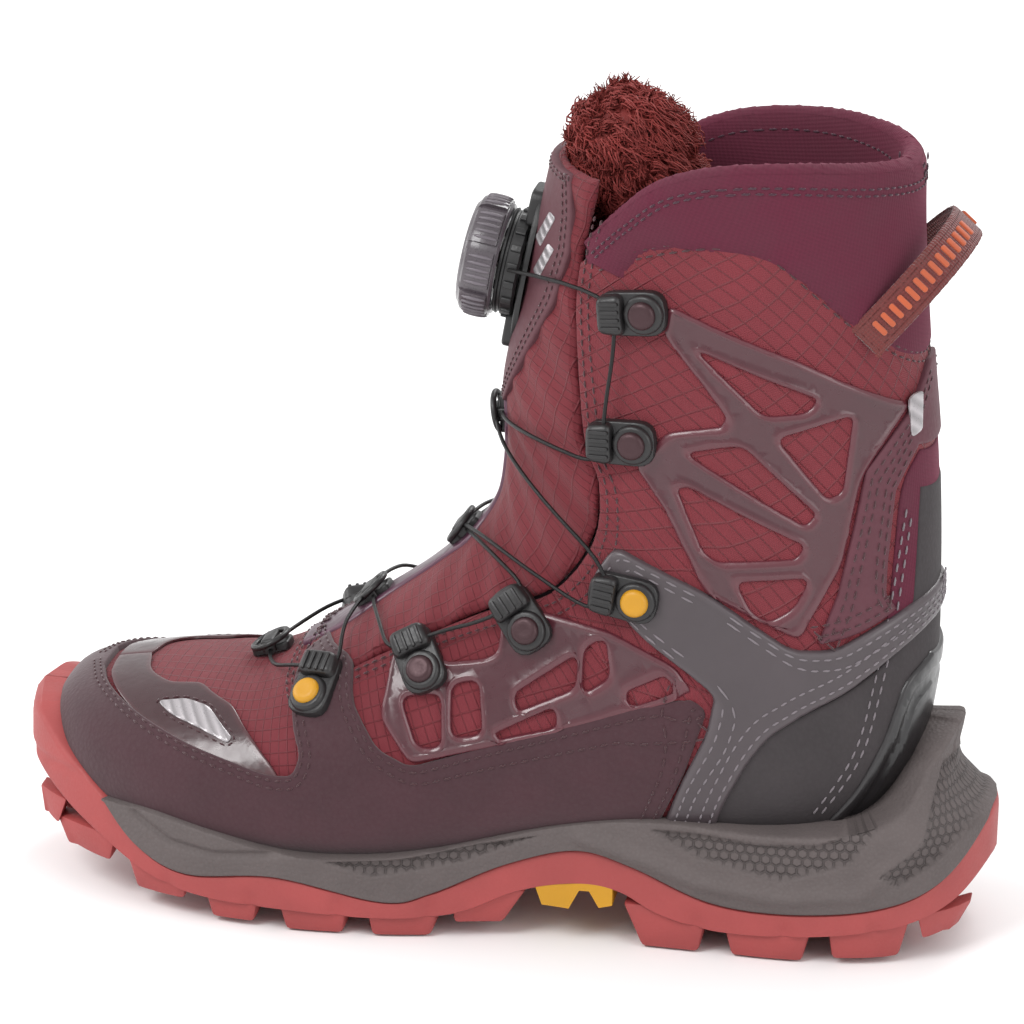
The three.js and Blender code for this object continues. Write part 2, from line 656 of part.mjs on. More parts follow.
// The lace's way over the tongue, between a guide on one side and one on the other.
function crossing(from, to, t, height) {
  const half = (point, order) => {
    const start = locate(point.x, point.z);
    const side = point.y < 0 ? 1 : -1;
    return order.map((share) => {
      const level = THREE.MathUtils.lerp(start.t, t, share);
      const lift = THREE.MathUtils.lerp(height + 2.2, height, share);
      return bodyPoint(level, side * start.angle * (1 - share), lift);
    });
  };
  return [...half(from, [0.35, 0.7]), bodyPoint(t, 0, height), ...half(to, [0.7, 0.35])];
}

function dialFrame() {
  const low = skinPoint(15, 0);
  const high = skinPoint(16, 0);
  const share = (REEL_HEIGHT * scaleZ - low.z) / (high.z - low.z);
  const origin = low.clone().lerp(high, share);
  const upward = high.clone().sub(low).normalize();
  const across = new THREE.Vector3(0, 1, 0);
  const normal = upward.clone().cross(across);
  return { origin, nose: upward, across, normal };
}

function dialPoint(up, across, out) {
  const frame = dialFrame();
  return frame.origin.clone().addScaledVector(frame.nose, up)
    .addScaledVector(frame.across, across).addScaledVector(frame.normal, out);
}

function laceRoute() {
  const near = GUIDES.map((guide) => guidePass(guide, 1));
  const far = GUIDES.map((guide) => guidePass(guide, -1));
  const low = 1.7;
  const high = 3.4;
  const portHeight = GAP + REEL_BASE_TOP + HOUSING_DEPTH * 0.5;
  const port = HOUSING_RADIUS + 1;
  const hook = [bodyPoint(HOOK_SECTION, -0.3, 2), bodyPoint(HOOK_SECTION - 0.15, 0, 2), bodyPoint(HOOK_SECTION, 0.3, 2)];
  return [
    dialPoint(2, -port, portHeight),
    ...near[0], ...near[1],
    ...crossing(near[1][1], far[2][0], KEEPERS[0], low),
    ...far[2],
    ...crossing(far[2][1], near[3][0], KEEPERS[1], low),
    ...near[3], ...near[4],
    ...crossing(near[4][1], far[5][0], KEEPERS[2], low),
    ...far[5], ...hook, near[5][1], near[5][0],
    ...crossing(near[5][0], far[4][1], KEEPERS[2], high),
    far[4][1], far[4][0], far[3][1], far[3][0],
    ...crossing(far[3][0], near[2][1], KEEPERS[1], high),
    near[2][1], near[2][0],
    ...crossing(near[2][0], far[1][1], KEEPERS[0], high),
    far[1][1], far[1][0], far[0][1], far[0][0],
    dialPoint(2, port, portHeight),
  ];
}

// A path that is stepped at its own points, so that the tube bends exactly there.
class PointPath extends THREE.Curve {
  constructor(points) {
    super();
    this.points = points;
  }

  getPoint(share) {
    const place = share * (this.points.length - 1);
    const index = Math.min(Math.floor(place), this.points.length - 2);
    return this.points[index].clone().lerp(this.points[index + 1], place - index);
  }

  getUtoTmapping(share) {
    return share;
  }
}

function laceSolid(radius, quarterSteps) {
  const path = new PointPath(laceRoute());
  const circle = new THREE.Shape();
  circle.absarc(0, 0, radius, 0, Math.PI * 2);
  const geometry = new THREE.ExtrudeGeometry(circle, {
    steps: path.points.length - 1, extrudePath: path, curveSegments: quarterSteps, bevelEnabled: false,
  });
  return solidOf(geometry);
}

function addLacing() {
  const channel = laceSolid(LACE_RADIUS + LACE_CLEARANCE, 3);
  GUIDES.forEach((guide, i) => {
    const seat = body(guide.base + 2 * GAP + (guide.lift ?? 0));
    const blank = guideBlank(guide).subtract(rivetSolid(guide, GAP));
    const rivet = rivetSolid(guide, 0);
    const color = i === 2 || i === 5 ? YELLOW : 0x5e4448;
    add(`lace_guide_${i + 1}_outer`, largest(blank.subtract(seat).subtract(channel)), BLACK, 0.6);
    add(`lace_guide_${i + 1}_inner`, largest(otherSide(blank).subtract(seat).subtract(channel)), BLACK, 0.6);
    add(`guide_rivet_${i + 1}_outer`, rivet, color, 0.45);
    add(`guide_rivet_${i + 1}_inner`, otherSide(rivet), color, 0.45);
  });
  ['upper', 'middle', 'lower'].forEach((place, i) => {
    add(`tongue_keeper_${place}`, largest(keeperBlank(KEEPERS[i]).subtract(channel)), BLACK, 0.5);
  });
  add('toe_hook', largest(keeperBlank(HOOK_SECTION - 0.12).subtract(channel)), BLACK, 0.5);
  add('lace_wire', laceSolid(LACE_RADIUS, 4), 0x1c1a1b, 0.4);
}

function keeperBlank(t) {
  const upward = skinPoint(t + 0.1, 0).sub(skinPoint(t - 0.1, 0)).normalize();
  const across = new THREE.Vector3(0, 1, 0);
  const frame = { origin: skinPoint(t, 0), nose: upward, across, normal: upward.clone().cross(across) };
  const geometry = new THREE.BoxGeometry(KEEPER_LENGTH, KEEPER_WIDTH, KEEPER_HEIGHT + 3);
  geometry.translate(0, 0, (KEEPER_HEIGHT - 3) / 2 + GAP);
  return inFrame(geometry, frame).subtract(body(GAP));
}

// ---- Dial reel ----
function turned(profile, segments) {
  const geometry = new THREE.LatheGeometry(profile.map(([r, h]) => new THREE.Vector2(r, h)), segments);
  geometry.rotateX(Math.PI / 2);
  return inFrame(geometry, dialFrame());
}

function addReel() {
  const channel = laceSolid(LACE_RADIUS + LACE_CLEARANCE, 3);
  const plate = new THREE.Shape();
  plate.absellipse(0, 0, HOUSING_RADIUS + 9, HOUSING_RADIUS - 1, 0, Math.PI * 2);
  const plateGeometry = new THREE.ExtrudeGeometry(plate, {
    depth: REEL_BASE_TOP + GAP + 8, bevelEnabled: false, curveSegments: 24,
  });
  plateGeometry.translate(0, 0, -8);
  add('reel_base', largest(inFrame(plateGeometry, dialFrame()).subtract(body(GAP))), BLACK, 0.5);

  const floor = REEL_BASE_TOP + 2 * GAP;
  const rim = floor + HOUSING_DEPTH;
  const cavity = HOUSING_RADIUS - HOUSING_WALL;
  const housing = turned([
    [0, floor], [HOUSING_RADIUS, floor], [HOUSING_RADIUS, rim], [cavity, rim], [cavity, floor + 1], [0, floor + 1],
  ], 32);
  add('reel_housing', largest(housing.subtract(channel)), BLACK, 0.55);

  const bore = AXLE_RADIUS + GAP;
  add('reel_spool', turned([
    [bore, floor + 1.3], [SPOOL_RADIUS, floor + 1.3], [SPOOL_RADIUS, floor + 2.3], [SPOOL_RADIUS - 3, floor + 2.6],
    [SPOOL_RADIUS - 3, rim - 1.6], [SPOOL_RADIUS, rim - 1.3], [SPOOL_RADIUS, rim - 0.3], [bore, rim - 0.3],
    [bore, floor + 1.3],
  ], 28), 0x8a8a8a, 0.5);

  const knobBack = rim + GAP;
  const knobFront = knobBack + KNOB_DEPTH;
  const bossTop = knobFront - KNOB_WALL - GAP;
  add('knob_carrier', turned([
    [0, floor + 1.3], [AXLE_RADIUS, floor + 1.3], [AXLE_RADIUS, knobBack + 1], [AXLE_RADIUS + 4, knobBack + 1.4],
    [AXLE_RADIUS + 4, bossTop], [0, bossTop],
  ], 20), 0xb0a8a4, 0.4, 0.6);

  const outline = new THREE.Shape();
  const steps = KNOB_RIBS * 2;
  for (let i = 0; i < steps; i += 1) {
    const radius = i % 2 ? KNOB_RADIUS : KNOB_RADIUS - 0.9;
    const angle = (i / steps) * Math.PI * 2;
    if (i === 0) {
      outline.moveTo(radius, 0);
    } else {
      outline.lineTo(radius * Math.cos(angle), radius * Math.sin(angle));
    }
  }
  const grip = new THREE.ExtrudeGeometry(outline, {
    depth: KNOB_DEPTH - 2, bevelThickness: 1, bevelSize: 1, bevelOffset: -1, bevelSegments: 1,
  });
  grip.translate(0, 0, knobBack + 1);
  const pocket = turned([
    [0, knobBack - 1], [AXLE_RADIUS + 4 + GAP, knobBack - 1], [AXLE_RADIUS + 4 + GAP, knobFront - KNOB_WALL],
    [0, knobFront - KNOB_WALL],
  ], 20);
  const hollow = turned([
    [AXLE_RADIUS + 6.5, knobBack - 1], [KNOB_RADIUS - KNOB_WALL - 1, knobBack - 1],
    [KNOB_RADIUS - KNOB_WALL - 1, knobFront - KNOB_WALL], [AXLE_RADIUS + 6.5, knobFront - KNOB_WALL],
    [AXLE_RADIUS + 6.5, knobBack - 1],
  ], 28);
  add('dial_knob', largest(inFrame(grip, dialFrame()).subtract(pocket).subtract(hollow)), 0x595257, 0.3);
}

// ---- Pull loop ----
function addPullLoop() {
  const spot = locate(106 * scaleX, 188 * scaleZ);
  const end = bodyPoint(spot.t, spot.angle, 0);
  const half = Math.abs(end.y) + GAP + 0.4;
  const band2d = (inset) => {
    const shape = new THREE.EllipseCurve(0, 0, PULL_LOOP_REACH - inset, half + WEBBING_WALL - inset, -Math.PI / 2, Math.PI / 2);
    return shape.getPoints(20);
  };
  const outer = band2d(0);
  const inner = band2d(WEBBING_WALL).reverse();
  const geometry = new THREE.ExtrudeGeometry(new THREE.Shape([...outer, ...inner]), {
    depth: WEBBING_WIDTH, bevelEnabled: false,
  });
  geometry.translate(0, 0, -WEBBING_WIDTH / 2);
  geometry.rotateY(-THREE.MathUtils.degToRad(49));
  geometry.translate(end.x, 0, end.z);
  const solid = solidOf(geometry).subtract(body(GAP + 0.2));
  add('pull_loop', largest(solid), 0xa65048, 0.85);
}

addOutsole();
addMidsole();
addArchInsert();
addInnerSole();
addUpper();
addPanels();
addToeTrim();
addTongue();
addReel();
addLacing();
addPullLoop();

// The origin is the middle of the sole's plan, on the ground.
const extent = new THREE.Box3().setFromObject(boot);
const middle = extent.getCenter(new THREE.Vector3());
boot.position.set(-middle.x, -middle.y, -extent.min.z);

export default boot;
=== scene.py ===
import math
import random

import bmesh
import bpy
import numpy as np
from mathutils import Matrix, Vector
from mathutils.bvhtree import BVHTree
from mathutils.kdtree import KDTree


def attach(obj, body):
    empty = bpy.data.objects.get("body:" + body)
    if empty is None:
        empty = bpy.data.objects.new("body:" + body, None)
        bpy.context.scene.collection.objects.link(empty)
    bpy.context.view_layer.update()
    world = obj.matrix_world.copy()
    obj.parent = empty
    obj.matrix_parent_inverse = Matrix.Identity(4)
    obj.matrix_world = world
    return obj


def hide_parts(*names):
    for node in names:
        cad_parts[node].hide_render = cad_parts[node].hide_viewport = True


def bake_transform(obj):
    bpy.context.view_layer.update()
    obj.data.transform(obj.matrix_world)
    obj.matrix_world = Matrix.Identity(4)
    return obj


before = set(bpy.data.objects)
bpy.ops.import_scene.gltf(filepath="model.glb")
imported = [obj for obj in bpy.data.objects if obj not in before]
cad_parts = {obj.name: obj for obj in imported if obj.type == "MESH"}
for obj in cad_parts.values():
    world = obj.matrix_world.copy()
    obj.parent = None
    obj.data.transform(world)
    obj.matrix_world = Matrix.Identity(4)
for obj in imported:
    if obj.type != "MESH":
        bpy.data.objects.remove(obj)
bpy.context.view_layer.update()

bl_info = {
    "name": "Winter Hiking Boot",
    "version": (1, 0, 0),
    "blender": (4, 5, 0),
    "location": "View3D > Sidebar > Boot",
    "description": "Builds a dial-laced winter hiking boot on its jointed frame",
    "category": "Add Mesh",
}

# ---- The last: the boot body's skin, in millimetres before the frame's origin ----
ORIGIN = np.array([-1.359, -0.552, 0.0])
TOE_SWING = 6.0
HALF_LENGTH = 148.5
# front x, front z, back x, back z, half width, widest place
SECTIONS = np.array([
    [-138, 51, -138, 36, 12, 0.55], [-133, 58, -134, 30, 24, 0.6], [-123, 62, -124, 27, 35, 0.62],
    [-107, 65, -107, 23, 44, 0.65], [-88, 67, -88, 20.5, 49.5, 0.68], [-72, 69.5, -64, 19, 51.5, 0.7],
    [-55, 79, -36, 18.5, 51.5, 0.7], [-38, 91, -8, 21, 49, 0.7], [-22, 103, 18, 26, 46, 0.68],
    [-10, 115, 48, 28, 43.5, 0.64], [-3, 126, 78, 28, 42, 0.6], [-1, 138, 105, 33, 41, 0.56],
    [-1, 150, 122, 52, 40.5, 0.53], [-1.5, 161, 128, 80, 40.5, 0.5], [0, 173, 128, 110, 40.5, 0.5],
    [4, 191, 126, 145, 40, 0.5], [8, 214, 122, 180, 40, 0.5], [11, 230, 119, 212, 41, 0.5],
    [14, 244, 118, 240, 42, 0.5], [18, 268, 119, 268, 42, 0.5],
])
LAST = len(SECTIONS) - 1
GIRTH = 45.0
SIDES = (("outer", 1), ("inner", -1))


def section_rows(t):
    """The cross-section at each height number, on one smooth curve through the table."""
    t = np.clip(t, 0, LAST)
    low = np.minimum(t.astype(int), LAST - 1)
    f = (t - low)[:, None]
    before, here = SECTIONS[np.maximum(low - 1, 0)], SECTIONS[low]
    there, after = SECTIONS[low + 1], SECTIONS[np.minimum(low + 2, LAST)]
    curve = 2 * here + (there - before) * f + (2 * before - 5 * here + 4 * there - after) * f ** 2
    return 0.5 * (curve + (3 * here - before - 3 * there + after) * f ** 3)


def skin(t, a):
    """Points of the body's skin at height number t and angle a from the instep line."""
    s = section_rows(t)
    forward = np.cos(a)
    ease = np.clip((t - 10) / 4, 0, 1)
    fullness = 3.2 - 0.9 * ease * ease * (3 - 2 * ease)
    n = np.where(forward > 0, 2.3, fullness)
    reach = np.abs(forward) ** (2 / n)
    along = np.where(forward > 0, s[:, 5] * (1 - reach), s[:, 5] + (1 - s[:, 5]) * reach)
    out = np.sign(np.sin(a)) * np.abs(np.sin(a)) ** (2 / n)
    x = s[:, 0] + (s[:, 2] - s[:, 0]) * along
    z = s[:, 1] + (s[:, 3] - s[:, 1]) * along
    return np.stack([x, -s[:, 4] * out, z], axis=1)


def skin_normal(t, a):
    """Outward directions of the skin."""
    up = skin(np.minimum(t + 0.3, LAST), a) - skin(np.maximum(t - 0.3, 0), a)
    around = skin(t, a + 0.1) - skin(t, a - 0.1)
    normal = np.cross(around, up)
    return normal / np.maximum(np.linalg.norm(normal, axis=1, keepdims=True), 1e-9)


HEIGHT_T = np.linspace(0, LAST, LAST * 10 + 1)
_side = skin(HEIGHT_T, np.full(len(HEIGHT_T), math.pi / 2))
HEIGHT_V = np.concatenate([[0], np.cumsum(np.linalg.norm(np.diff(_side, axis=0), axis=1))])


def in_frame(points):
    """Millimetres of the drawing to the frame's metres, with the toe's inward curve."""
    p = np.array(points, float).reshape(-1, 3)
    share = np.maximum(0, -p[:, 0] - 20) / (HALF_LENGTH - 20)
    p[:, 1] += TOE_SWING * share * share
    return (p + ORIGIN) * 0.001


class Last:
    """The body's skin as a flat sheet: u runs round it, v up it and w out of it, in mm."""

    def drawing(self, uvw):
        t = np.interp(uvw[:, 1], HEIGHT_V, HEIGHT_T)
        a = uvw[:, 0] / GIRTH
        return skin(t, a) + skin_normal(t, a) * uvw[:, 2:3]

    def place(self, uvw):
        return in_frame(self.drawing(np.array(uvw, float).reshape(-1, 3)))


LAST_SHAPE = Last()
_grid_t, _grid_a = np.meshgrid(np.linspace(0.05, LAST - 0.1, 330), np.linspace(0, math.pi, 181))
_grid_t, _grid_a = _grid_t.ravel(), _grid_a.ravel()
_grid_p = skin(_grid_t, _grid_a)


def on_last(x, z, side=1):
    """The flat place (u, v) of a side-view point; side 1 is the outer side, -1 the inner."""
    i = int(np.argmin((_grid_p[:, 0] - x) ** 2 + (_grid_p[:, 2] - z) ** 2))
    t, a = _grid_t[i], _grid_a[i]
    for step in (0.04, 0.012, 0.004):
        dt, da = np.meshgrid(np.arange(-3, 4) * step, np.arange(-3, 4) * step * 0.4)
        tt = np.clip(t + dt.ravel(), 0, LAST)
        aa = np.clip(a + da.ravel(), 0, math.pi)
        p = skin(tt, aa)
        k = int(np.argmin((p[:, 0] - x) ** 2 + (p[:, 2] - z) ** 2))
        t, a = tt[k], aa[k]
    return (side * a * GIRTH, float(np.interp(t, HEIGHT_T, HEIGHT_V)))


def uv_at(t, a):
    """The flat place of a height number and an angle."""
    return (a * GIRTH, float(np.interp(t, HEIGHT_T, HEIGHT_V)))


# ---- Side-view outlines of the sewn and moulded panels, [x, z] in mm ----
THROAT = [
    (-61, 84), (-58, 69), (-45, 76), (-31, 84), (-2, 99), (18, 107), (30, 124), (31, 142),
    (26, 155), (22, 190), (23, 208), (26, 224),
]
QUARTER_TOP = [(25, 208), (43, 216), (66, 221), (82, 217), (103, 198), (120, 184), (128, 180)]
COLLAR_LOW = [(45, 148), (40, 205), (66, 212), (82, 208), (103, 190), (128, 172)]
COLLAR_RIM = [(22, 212), (31, 222), (44, 233), (62, 239), (86, 241), (108, 240), (122, 238)]
RAND_EDGE = [
    (-126, 62), (-107, 57), (-91, 53), (-64, 47.5), (-56, 48), (-54, 54), (-57, 60), (-60, 70),
    (-58, 80), (-42, 80), (-40, 70), (-31, 58), (-21, 53.5), (0, 60.5), (23, 68), (46, 76),
    (61, 79.5), (66, 76), (60, 56), (50, 34),
]
FILM_BAND = [
    (-122, 62), (-107, 56.5), (-91, 52.5), (-66, 47), (-60, 47), (-63, 50.5), (-69, 55.5), (-78, 62),
    (-90, 64.5), (-100, 63.5), (-108, 64), (-114, 65.5), (-120, 66.5),
]
REFLECTOR = [(-102, 60), (-93, 61.5), (-85, 61), (-76, 55.5), (-77, 54), (-87, 56.5), (-96, 58)]
ANKLE_WEB = [
    (50, 198), (66, 191.5), (89, 183), (119, 168), (110, 153), (107, 147), (103, 122), (92, 99),
    (64, 112), (51, 137), (42, 149), (51, 160), (67, 163), (68, 166), (49, 189),
]
ANKLE_WINDOWS = [
    [(59, 185), (94, 172), (91, 168), (79, 166.5)],
    [(83, 160), (104, 167), (102, 144), (98, 142)],
    [(57, 154), (73, 157.5), (95, 137.5), (92, 134)],
    [(55, 143), (58, 144), (92, 128), (90, 124), (67, 122), (63, 125)],
    [(73, 116), (94, 118), (90, 109), (83, 104.5), (78, 107)],
]
FOREFOOT_WEB = [
    (-31, 67), (-21, 54.5), (6, 61.5), (34, 69.5), (62, 81), (56, 89), (36, 98), (17, 101),
    (4, 102), (3, 88), (-1, 86), (-13, 83.5), (-19, 89), (-29, 84.5),
]
FOREFOOT_WINDOWS = [
    [(-25, 73), (-13, 75), (-12, 60), (-19, 59.5)],
    [(-10, 78), (-2, 80), (0, 64.5), (-9, 63)],
    [(4, 65), (21, 74), (22, 68), (5, 63.5)],
    [(9, 77), (27, 90), (27, 80), (10, 72)],
    [(29, 92), (35, 95.5), (37, 84), (29, 78.5)],
    [(42, 80), (54, 86), (56, 80.5), (43, 75.5)],
]
SADDLE = [
    (37, 124), (46, 120), (65, 112), (90, 96), (102, 96), (123, 108), (132, 112), (132, 104),
    (117, 92), (106, 83), (95, 77), (84, 69), (78, 60), (72, 48), (68, 36), (53, 36), (59, 53),
    (66, 69), (68, 81), (63, 85), (46, 97), (30, 113),
]
HEEL_SIDE = [(60, 30), (66, 50), (84, 70), (106, 83), (117, 92), (122, 102), (122.5, 142)]
STRAP_SIDE = [
    (122, 178), (119, 166.5), (108, 150), (106, 136), (102, 113), (97, 98), (118, 107),
    (115, 112), (115, 122), (116, 143), (121, 155),
]
CLIP_SIDE = [(98, 37), (109, 51), (116, 66), (121, 84), (127, 90)]
SOLE_SEAM = [
    (-115, 32), (-104, 20.5), (-88, 14.5), (-60, 17.3),
    (-28, 11.5), (-14, 14.5), (8, 24.6), (29, 30), (46, 26), (68, 17.2), (90, 15.4),
    (118, 18), (136, 25), (149, 41.5),
]
MIDSOLE_EDGE = [
    (-115, 32.6), (-99, 32.5), (-79, 29), (-58, 25), (-38, 25), (-15, 28), (24, 37.5), (54, 41),
    (82, 40), (106, 41), (115, 42.5), (123, 45.5), (129, 49), (135, 55), (140, 59.5), (145, 64),
    (150, 68),
]
TREAD = [
    (-146, 37), (-134, 29), (-118, 20), (-98, 11), (-80, 7.5), (-58, 6.5), (-28, 6), (-6, 8),
    (12, 15.5), (29, 18.5), (42, 17), (54, 11), (72, 7.5), (100, 8.5), (126, 12), (140, 17),
    (149, 25),
]
SOLE_PLAN = [
    (-148, 0), (-144, 18), (-134, 31), (-117, 42), (-92, 51), (-60, 54), (-28, 52), (5, 46),
    (32, 43), (62, 43.5), (96, 44.5), (122, 40), (139, 28), (148, 12), (150, 0),
]
# base from, base to, foot from, foot to, bottom, top
LUGS = [
    (-141, -130, -139.5, -133, 18.5, 27), (-134, -112, -130, -114, 12, 21),
    (-108, -87, -105, -89, 5.5, 16),
    (-83, -65, -80, -67, 1.2, 12), (-60, -38, -57, -40, 0, 11), (-33, -11, -31, -14, 0, 10),
    (-8, 14, -7, 7, 4.5, 16), (43, 69, 49, 66, 0, 14), (73, 100, 76, 97, 0, 12),
    (104, 128, 106, 125, 1.5, 14), (130, 145, 132, 141, 7, 15),
]
# x, z, nose angle, height of what it sits on
GUIDES = [
    (43, 195, 186, 1.5), (41, 156, 182, 1.5), (43.5, 109, 172, 2.6),
    (11.5, 96, 128, 1.5), (-19, 81, 119, 1.5), (-52, 69, 96, 1.5),
]
GUIDE_LENGTH, GUIDE_WIDTH, GUIDE_HEIGHT = 21.0, 13.5, 5.4
KEEPERS = (12.1, 8.75, 6.85)
HOOK_SECTION = 5.1
HOUSING_RADIUS, HOUSING_DEPTH, REEL_BASE_TOP, GAP = 16.0, 6.2, 2.2, 0.3
KNOB_RADIUS, KNOB_DEPTH = 18.0, 11.5
REEL_HEIGHT = 196.0


# ---- Drawing flat patterns ----
def rounded(points, radius=3.0, closed=True):
    """The outline with its corners cut by short arcs."""
    p = [Vector(q) for q in points]
    out = []
    for i, corner in enumerate(p):
        if not closed and i in (0, len(p) - 1):
            out.append(corner)
            continue
        to_last, to_next = p[i - 1] - corner, p[(i + 1) % len(p)] - corner
        cut = min(radius, to_last.length * 0.42, to_next.length * 0.42)
        start, end = corner + to_last.normalized() * cut, corner + to_next.normalized() * cut
        for k in range(5):
            f = k / 4
            out.append(start * (1 - f) ** 2 + corner * 2 * f * (1 - f) + end * f * f)
    return [tuple(q) for q in out]


def stepped(points, step=2.5, closed=True):
    """The outline with points no further apart than step."""
    out = []
    count = len(points) if closed else len(points) - 1
    for i in range(count):
        a, b = Vector(points[i]), Vector(points[(i + 1) % len(points)])
        n = max(1, int(math.ceil((b - a).length / step)))
        out += [tuple(a.lerp(b, k / n)) for k in range(n)]
    if not closed:
        out.append(tuple(points[-1]))
    return out


def curve_through(points, steps=10):
    """A smooth open line through the points."""
    p = np.array(points, float)
    out = []
    for i in range(len(p) - 1):
        a, b, c, d = p[max(i - 1, 0)], p[i], p[i + 1], p[min(i + 2, len(p) - 1)]
        for k in range(steps):
            f = k / steps
            out.append(0.5 * (2 * b + (c - a) * f + (2 * a - 5 * b + 4 * c - d) * f * f
                              + (3 * b - a - 3 * c + d) * f ** 3))
    out.append(p[-1])
    return [tuple(q) for q in out]


def flat(points, side=1):
    """Side-view points as flat places."""
    return [on_last(x, z, side) for x, z in points]


HEEL_GAP, TOE_GAP = 0.8, 0.6


def round_heel(line):
    """A line on the outer side that ends at the heel's back, and its mirror on the inner side."""
    back = 2 * math.pi * GIRTH
    kept = [(u, v) for u, v in line if u < back / 2 - HEEL_GAP]
    return kept + [(back - u, v) for u, v in reversed(kept)]


def round_toe(line):
    """A line on the outer side that starts at the instep, and its mirror on the inner side."""
    kept = [(u, v) for u, v in line if u > TOE_GAP]
    return kept + [(-u, v) for u, v in reversed(kept)]


LEAST_GAP = 0.35


def clean(points):
    """The outline without points that fall on their neighbours."""
    out = []
    for p in points:
        if not out or (Vector(p) - Vector(out[-1])).length > LEAST_GAP:
            out.append(p)
    if (Vector(out[0]) - Vector(out[-1])).length < LEAST_GAP:
        out.pop()
    return out


def offset_line(points, distance, closed=True):
    """The outline moved to its inner side by a distance."""
    p = np.array(points, float)
    if closed:
        before, after = np.roll(p, 1, axis=0), np.roll(p, -1, axis=0)
        turn = np.sum(p[:, 0] * after[:, 1] - after[:, 0] * p[:, 1])
        sign = 1 if turn > 0 else -1
    else:
        before, after = np.vstack([p[:1], p[:-1]]), np.vstack([p[1:], p[-1:]])
        sign = 1
    along = after - before
    along /= np.maximum(np.linalg.norm(along, axis=1, keepdims=True), 1e-9)
    normal = np.stack([-along[:, 1], along[:, 0]], axis=1) * sign
    return [tuple(q) for q in p + normal * distance]


# ---- From flat patterns to pieces ----
SOFT_RIM = [(0.05, 0.75), (0.25, 0.17), (0.5, 0.08)]
MOULDED_RIM = [(0.05, 0.6), (0.3, 0.32), (0.45, 0.08)]


def filled(loops, height=0.0):
    """A flat mesh over the first outline, open at the other ones, facing up."""
    bm = bmesh.new()
    for loop in loops:
        corners = [bm.verts.new((u, v, height)) for u, v in clean(loop)]
        for i, corner in enumerate(corners):
            bm.edges.new((corners[i - 1], corner))
    bmesh.ops.triangle_fill(bm, use_beauty=True, edges=bm.edges[:], normal=(0, 0, 1))
    bmesh.ops.recalc_face_normals(bm, faces=bm.faces[:])
    if sum(f.normal.z for f in bm.faces) < 0:
        bmesh.ops.reverse_faces(bm, faces=bm.faces[:])
    return bm


def cut_panel(outline, windows=(), rim=SOFT_RIM, wall=1.5, foot=-0.6, lip=(), grid=3.0):
    """A panel cut flat: its rim raised and rounded from the foot to the wall, its face gridded."""
    bm = filled([outline, *windows], foot)
    face = bm.faces[:]
    for width, rise in [(width, share * (wall - foot)) for width, share in rim] + list(lip):
        bmesh.ops.inset_region(bm, faces=face, thickness=width, depth=rise,
                               use_boundary=True, use_even_offset=False)
    grid_up(bm, grid)
    return bm


LARGEST_PATTERN = 700.0


def grid_up(bm, step):
    """Cuts the flat mesh along even lines, so that it can bend."""
    co = np.array([v.co for v in bm.verts])
    low, high = co.min(0), co.max(0)
    if max(high - low) > LARGEST_PATTERN:
        raise ValueError("a flat pattern is larger than the boot")
    for axis in (0, 1):
        normal = Vector((1, 0, 0)) if axis == 0 else Vector((0, 1, 0))
        place = math.ceil(low[axis] / step) * step
        while place < high[axis]:
            geom = bm.verts[:] + bm.edges[:] + bm.faces[:]
            bmesh.ops.bisect_plane(bm, geom=geom, dist=0.02, plane_co=normal * place,
                                   plane_no=normal)
            place += step


def rim_distance(points, outlines):
    """How far each flat point is from the nearest outline."""
    loops = [stepped(loop, 0.8) for loop in outlines]
    count = sum(len(loop) for loop in loops)
    tree = KDTree(count)
    for i, p in enumerate(q for loop in loops for q in loop):
        tree.insert((p[0], p[1], 0), i)
    tree.balance()
    return np.array([tree.find((u, v, 0))[2] for u, v in points])


def bent(bm, name, shape=LAST_SHAPE, outlines=()):
    """The flat mesh bent on to the shape and made an object, with its flat places as its UV map."""
    uv = bm.loops.layers.uv.new("flat")
    for f in bm.faces:
        f.smooth = True
        for loop in f.loops:
            loop[uv].uv = (loop.vert.co.x * 0.001, loop.vert.co.y * 0.001)
    co = np.array([v.co for v in bm.verts])
    placed = shape.place(co)
    if outlines:
        rim = rim_distance(co[:, :2], outlines)
    for v, p in zip(bm.verts, placed):
        v.co = p
    piece = as_object(bm, name)
    if outlines:
        attribute = piece.data.attributes.new("rim", "FLOAT", "POINT")
        attribute.data.foreach_set("value", rim.astype(np.float32))
    return piece


def as_object(bm, name, sharp=50):
    """The finished mesh as a smooth object, with edges sharper than an angle kept."""
    mesh = bpy.data.meshes.new(name)
    for f in bm.faces:
        f.smooth = True
    bm.to_mesh(mesh)
    bm.free()
    mesh.set_sharp_from_angle(angle=math.radians(sharp))
    piece = bpy.data.objects.new(name, mesh)
    bpy.context.scene.collection.objects.link(piece)
    return piece


def join_local(bm, block):
    """Adds a finished block to the mesh and frees it."""
    spare = bpy.data.meshes.new("block")
    block.to_mesh(spare)
    block.free()
    bm.from_mesh(spare)
    bpy.data.meshes.remove(spare)


def dress(piece, finish, body="boot", stands_for=()):
    """Gives a piece its finish, its body and the frame nodes that it stands for."""
    piece.data.materials.append(FINISH[finish])
    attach(piece, body)
    if stands_for:
        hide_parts(*stands_for)
    return piece


STITCH_HALF_WIDTH, STITCH_HALF_HEIGHT, SEAM_END = 0.34, 0.35, 1.2


